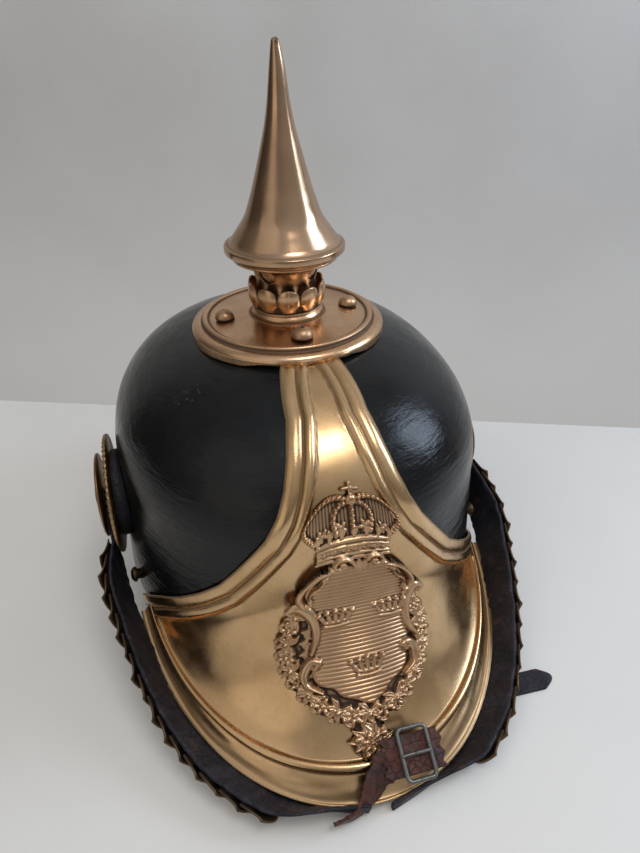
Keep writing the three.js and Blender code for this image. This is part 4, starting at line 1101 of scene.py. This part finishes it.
def strap_band(line, wall, steps, ragged):
    """Leather band with rounded edges, ragged sides and a puckered inner face."""
    along = np.linspace(0, line.total, steps)
    place, out, up, wide = line.at(along)
    across = np.linspace(-0.5, 0.5, 17)
    noise = RANDOM.normal(0, 1, (steps, 2)) * ragged
    for _ in range(3):
        noise[1:-1] = (noise[:-2] + noise[1:-1] + noise[2:]) / 3
    edge = np.where(across > 0, noise[:, :1], noise[:, 1:]) * np.abs(2 * across) ** 4
    flat = place[:, None] + up[:, None] * (across * wide[:, None] + edge)[..., None]
    round_off = 0.35 * np.abs(2 * across) ** 8
    puckers = 0.25 * np.sin(0.9 * along[:, None] + 5 * across) * np.sin(0.23 * along[:, None])
    puckers = np.minimum(puckers + 0.3 * noise[:, :1], 0.2)
    layers = []
    for off in (-round_off, round_off + puckers - wall):
        points = flat + out[:, None] * off[..., None]
        points[..., 2] = np.maximum(points[..., 2], TABLE_Z + TABLE_GAP)
        layers.append(points)
    return shell(*layers)


def scale_shell(line, start, pitch, curl):
    """One brass scale: an arched tongue with a rolled free edge."""
    sheet, overlap, dome, margin = (SCALES[key] for key in ("sheet", "overlap", "dome", "margin"))
    slope = (sheet + 0.45) / pitch
    along = np.linspace(0, 1, SCALES["rows"])[:, None]
    side = np.linspace(-1, 1, SCALES["columns"])[None, :]
    tongue = 1 - 0.3 * side**2
    length = start + along * (pitch + overlap) * (1 + (tongue - 1) * along)
    place, out, up, wide = line.at(length)
    lift = 0.6 + (length - start) * slope + dome * (1 - side**2)
    lift = lift + 0.22 * bell(1 - along, 0.12) + curl * along**4
    layers = []
    for extra in (sheet, 0.0):
        points = place + up * (side * (wide + margin) / 2)[..., None] + out * (lift + extra)[..., None]
        points[..., 2] = np.maximum(points[..., 2], TABLE_Z + TABLE_GAP)
        layers.append(points)
    return shell(*layers)


def build_straps():
    rows = np.repeat(np.linspace(0, 1, SCALES["rows"]), SCALES["columns"])
    # Painted shade: each scale is darker where it comes out from under the one before, fading toward its free
    # edge
    dirt_and_shade = 0.9 - 0.8 * ease(rows, 0.1, 0.6)
    for side, mirror in MIRROR.items():
        leather = StrapLine(START[side] + STRAP + ENDS[side])
        points, faces = strap_band(leather, STRAP_WALL, 240, 0.5)
        points[:, 0] *= mirror
        add_piece(f"strap_leather_{side}", points, mirrored_faces(faces, mirror), "strap",
                  [f"strap_{side}"])
        line = StrapLine(START[side] + STRAP)
        pitch = (line.total - SCALES["first"] - SCALES["overlap"]) / SCALES["count"]
        all_points, all_faces, nodes = [], [], []
        for i in range(SCALES["count"]):
            curl = RANDOM.uniform(0.6, 2.6)
            points, faces = scale_shell(line, SCALES["first"] + i * pitch, pitch, curl)
            all_points.append(points)
            all_faces += [[v + i * len(points) for v in face] for face in faces]
            nodes.append(f"scale_{side}_{i + 1:02d}")
        points = np.concatenate(all_points)
        points[:, 0] *= mirror
        add_piece(f"scales_{side}", points, mirrored_faces(all_faces, mirror), "aged", nodes,
                  np.tile(dirt_and_shade, 2 * SCALES["count"]))


def on_buckle(along, across, off):
    lean = np.radians(BUCKLE["lean"])
    along, across, off = np.broadcast_arrays(along, across, off)
    return np.stack([BUCKLE["x"] + along, BUCKLE["y"] + across * np.cos(lean) - off * np.sin(lean),
                     BUCKLE["z"] + across * np.sin(lean) + off * np.cos(lean)], -1)


def wire(path, radius, closed=False, segments=12):
    """Round bar along a path in the buckle's plane, given as (along, across, off)."""
    path = np.asarray(path, float)
    ahead = np.roll(path, -1, axis=0) - np.roll(path, 1, axis=0) if closed else np.gradient(path, axis=0)
    run = unit(ahead)
    normal = np.array([0, 0, 1.0])
    aside = unit(np.cross(run, normal))
    over = np.cross(aside, run)
    angle = np.linspace(0, 2 * np.pi, segments, endpoint=False)[None, :, None]
    ring = path[:, None] + radius * (aside[:, None] * np.cos(angle) + over[:, None] * np.sin(angle))
    if closed:
        ring = np.concatenate([ring, ring[:1]])
    points = on_buckle(ring[..., 0], ring[..., 1], ring[..., 2]).reshape(-1, 3)
    faces = grid_faces(len(ring), segments, wrap=True)
    if not closed:
        faces.append(list(range(segments)))
        faces.append(list(range(len(points) - segments, len(points)))[::-1])
    return points, faces


def build_buckle():
    half_l, half_w, corner = BUCKLE["length"] / 2 - 1.2, BUCKLE["width"] / 2 - 1.2, 2.2
    outline = []
    for sx, sy, first in ((1, 1, 0), (-1, 1, 90), (-1, -1, 180), (1, -1, 270)):
        for a in np.radians(np.linspace(first, first + 90, 7)):
            along = sx * (half_l - corner) + corner * np.cos(a)
            across = sy * (half_w - corner) + corner * np.sin(a)
            outline.append((along, across, 0.95))
    points, faces = wire(outline, BUCKLE["wire"], closed=True)
    add_piece("buckle_loop", points, faces, "steel", ["buckle_frame"])
    prong = [(-1, 0, 2.3), (-0.5, 0.1, 2.7), (0, 0.1, 2.9), (0.6, 0, 2.8), (1, 0, 2.4)]
    points, faces = wire(spline([(half_l * share, across, off) for share, across, off in prong], 6), 0.8)
    add_piece("buckle_tongue", points, faces, "steel", ["buckle_prong"])


def build_torn_leather():
    """The tab in the buckle, and the strip that hangs from it."""
    along = np.linspace(TORN_TAB["back"], TORN_TAB["front"], 60)[:, None]
    across = np.linspace(-0.5, 0.5, 25)[None, :]
    droop = 0.012 * np.maximum(np.abs(along) - 8, 0) ** 2
    torn_back = 1.1 * np.sin(across * 23) * ease(-along, 9, 15)
    torn_front = 0.9 * np.sin(across * 17 + 1) * ease(along, 9, 13)
    ripple = 0.28 * np.sin(along * 0.9 + across * 4) * np.sin(across * 7 + along * 0.3)
    layers = []
    for off in (TORN_TAB["top"], TORN_TAB["under"]):
        height = off - droop + ripple
        layers.append(on_buckle(along + torn_back - torn_front, across * TORN_TAB["width"], height))
    points, faces = shell(*layers)
    add_piece("torn_tab", points, faces, "brown", ["strap_tab"])
    points, faces = strap_band(StrapLine(TORN_STRIP), 1.6, 90, 0.9)
    add_piece("torn_strip", points, faces, "brown", None)


def build_tail():
    start, end = np.array(TAIL["from"]), np.array(TAIL["to"])
    run = unit(end - start)
    aside = np.array([-run[1], run[0]])
    length = np.linalg.norm(end - start)
    along = np.linspace(0, length, 60)
    marks = [0, length - TAIL["point"], length - 1, length]
    half = TAIL["width"] / 2 * np.interp(along, marks, [1, 1, 0.42, 0.2])
    across = np.linspace(-1, 1, 13)
    layers = []
    for z in (TAIL["thick"] - 0.15, TABLE_GAP):
        flat = start + along[:, None, None] * run + (half[:, None] * across)[..., None] * aside
        rounding = 0.3 * np.abs(across) ** 6 * (1 if z > 1 else -1)
        layers.append(np.concatenate([flat, (TABLE_Z + z - rounding + 0 * flat[..., 0])[..., None]], -1))
    points, faces = shell(*layers)
    add_piece("free_strap_end", points, faces, "strap", ["strap_tail"])


# Stage, camera and light
TABLE_CORNERS = [(-1500, -1200), (1500, -1200), (1500, -386), (-1500, 757)]
WALL_BEHIND = (200, 520)
WALL_Z = (-900, 1500)
WALL_GLOW = {"low": -0.35, "high": 0.3, "to_low": 0.42, "to_high": 0.02}


def table_look():
    n = Nodes("table")
    tone = n.mix(n.span(n.noise(3.0, 4), 0.3, 0.7), rgb(0.49, 0.485, 0.47), rgb(0.54, 0.535, 0.52))
    return n.finish(Base_Color=tone, Roughness=0.42, Normal=n.bump(n.noise(700, 3), 0.05, 0.0004))


def wall_look():
    n = Nodes("wall")
    tone = n.mix(n.span(n.noise(4.0, 5), 0.3, 0.7), rgb(0.5, 0.495, 0.485), rgb(0.54, 0.54, 0.535))
    return n.finish(Base_Color=tone, Emission_Color=rgb(0.5, 0.49, 0.475),
                    Emission_Strength=n.span(n.height(), **WALL_GLOW),
                    Roughness=0.85, Normal=n.bump(n.noise(300, 4), 0.2, 0.001))


def build_stage():
    floor = [(*corner, TABLE_Z) for corner in TABLE_CORNERS]
    right, left = (np.add(corner, WALL_BEHIND) for corner in TABLE_CORNERS[2:])
    low, high = WALL_Z
    wall = [(*left, low), (*right, low), (*right, high), (*left, high)]
    for name, corners, look in (("table_top", floor, table_look()), ("back_wall", wall, wall_look())):
        mesh = bpy.data.meshes.new(name)
        mesh.from_pydata(to_metres(corners).tolist(), [], [[0, 1, 2, 3]])
        mesh.materials.append(look)
        thing = bpy.data.objects.new(name, mesh)
        bpy.context.scene.collection.objects.link(thing)


CAMERA = {
    "azimuth": -14.5, "height": 33.14, "distance": 376.0, "roll": -0.88,
    "target": (15.66, -4.05, 95.51),
}
SENSOR = 36
PHOTO = {"width": 640, "height": 853}


def place_camera():
    az, el, roll = (np.radians(CAMERA[key]) for key in ("azimuth", "height", "roll"))
    back = np.array([np.sin(az) * np.cos(el), -np.cos(az) * np.cos(el), np.sin(el)])
    right = unit(np.cross(-back, [0, 0, 1.0]))
    up = np.cross(right, -back)
    right, up = np.cos(roll) * right + np.sin(roll) * up, np.cos(roll) * up - np.sin(roll) * right
    spot = to_metres(np.array(CAMERA["target"]) + CAMERA["distance"] * back)
    camera = bpy.data.objects.new("view", bpy.data.cameras.new("view"))
    camera.data.sensor_width = SENSOR
    camera.data.lens = PHOTO["width"] * SENSOR / PHOTO["height"]
    camera.data.clip_start = 0.01
    axes = np.column_stack([right, up, back])
    camera.matrix_world = Matrix.Translation(Vector(spot)) @ Matrix(axes.tolist()).to_4x4()
    bpy.context.scene.collection.objects.link(camera)
    bpy.context.scene.camera = camera


WORLD_STRENGTH = 0.7
WORLD_TILT = (0.25, -0.25, 0.93)
WORLD_RAMP = [
    (0.3, (0.05, 0.042, 0.035)),
    (0.52, (0.16, 0.145, 0.13)),
    (0.74, (0.36, 0.35, 0.34)),
    (1.0, (0.85, 0.87, 0.92)),
]
LIGHTS = [
    {"name": "window", "at": (1.12, -0.2, 0.8), "size": (0.5, 0.62), "power": 9,
     "colour": (0.66, 0.79, 1.0), "glossy": True},
    {"name": "ceiling_lamp", "at": (0.25, -0.55, 1.5), "size": (0.5, 0.4), "power": 5,
     "colour": (1, 0.97, 0.93), "glossy": True},
    {"name": "bright_wall", "at": (-1.15, -0.6, 1.25), "size": (1.3, 1.2), "power": 1.7,
     "colour": (1, 0.93, 0.84), "glossy": True},
    {"name": "low_left_card", "at": (-1.1, -1.0, 0.4), "size": (1.1, 0.6), "power": 1.3,
     "colour": (1, 0.93, 0.84), "glossy": True},
    {"name": "room_fill", "at": (-0.3, -0.7, 1.6), "size": (2.0, 2.0), "power": 19,
     "colour": (1, 0.97, 0.93), "glossy": False},
]


def add_light(light):
    data = bpy.data.lights.new(light["name"], "AREA")
    data.shape = "RECTANGLE"
    data.size, data.size_y = light["size"]
    data.energy = light["power"]
    data.color = light["colour"]
    lamp = bpy.data.objects.new(light["name"], data)
    lamp.location = Vector(light["at"])
    lamp.rotation_euler = (Vector((0, 0, 0.1)) - lamp.location).to_track_quat("-Z", "Y").to_euler()
    lamp.visible_glossy = light["glossy"]
    bpy.context.scene.collection.objects.link(lamp)


def light_scene():
    world = bpy.data.worlds.new("room")
    world.use_nodes = True
    tree = world.node_tree
    coords = tree.nodes.new("ShaderNodeTexCoord").outputs["Generated"]
    tilt = tree.nodes.new("ShaderNodeVectorMath")
    tilt.operation = "DOT_PRODUCT"
    tilt.inputs[1].default_value = WORLD_TILT
    tree.links.new(coords, tilt.inputs[0])
    shift = tree.nodes.new("ShaderNodeMapRange")
    shift.inputs["From Min"].default_value = -1
    tree.links.new(tilt.outputs["Value"], shift.inputs["Value"])
    ramp = tree.nodes.new("ShaderNodeValToRGB")
    tree.links.new(shift.outputs["Result"], ramp.inputs["Fac"])
    while len(ramp.color_ramp.elements) < len(WORLD_RAMP):
        ramp.color_ramp.elements.new(0.5)
    for element, (place, colour) in zip(ramp.color_ramp.elements, WORLD_RAMP):
        element.position = place
        element.color = (*colour, 1)
    tree.links.new(ramp.outputs["Color"], tree.nodes["Background"].inputs["Color"])
    tree.nodes["Background"].inputs["Strength"].default_value = WORLD_STRENGTH
    bpy.context.scene.world = world
    for light in LIGHTS:
        add_light(light)


place_camera()
build_stage()
light_scene()
build_skull()
build_guard()
build_plate()
build_badge()
build_base_plate()
build_studs()
build_neck()
build_petals()
build_spike()
build_ears()
build_straps()
build_buckle()
build_torn_leather()
build_tail()

scene = bpy.context.scene
scene.view_settings.view_transform = "Standard"
bpy.context.view_layer.update()
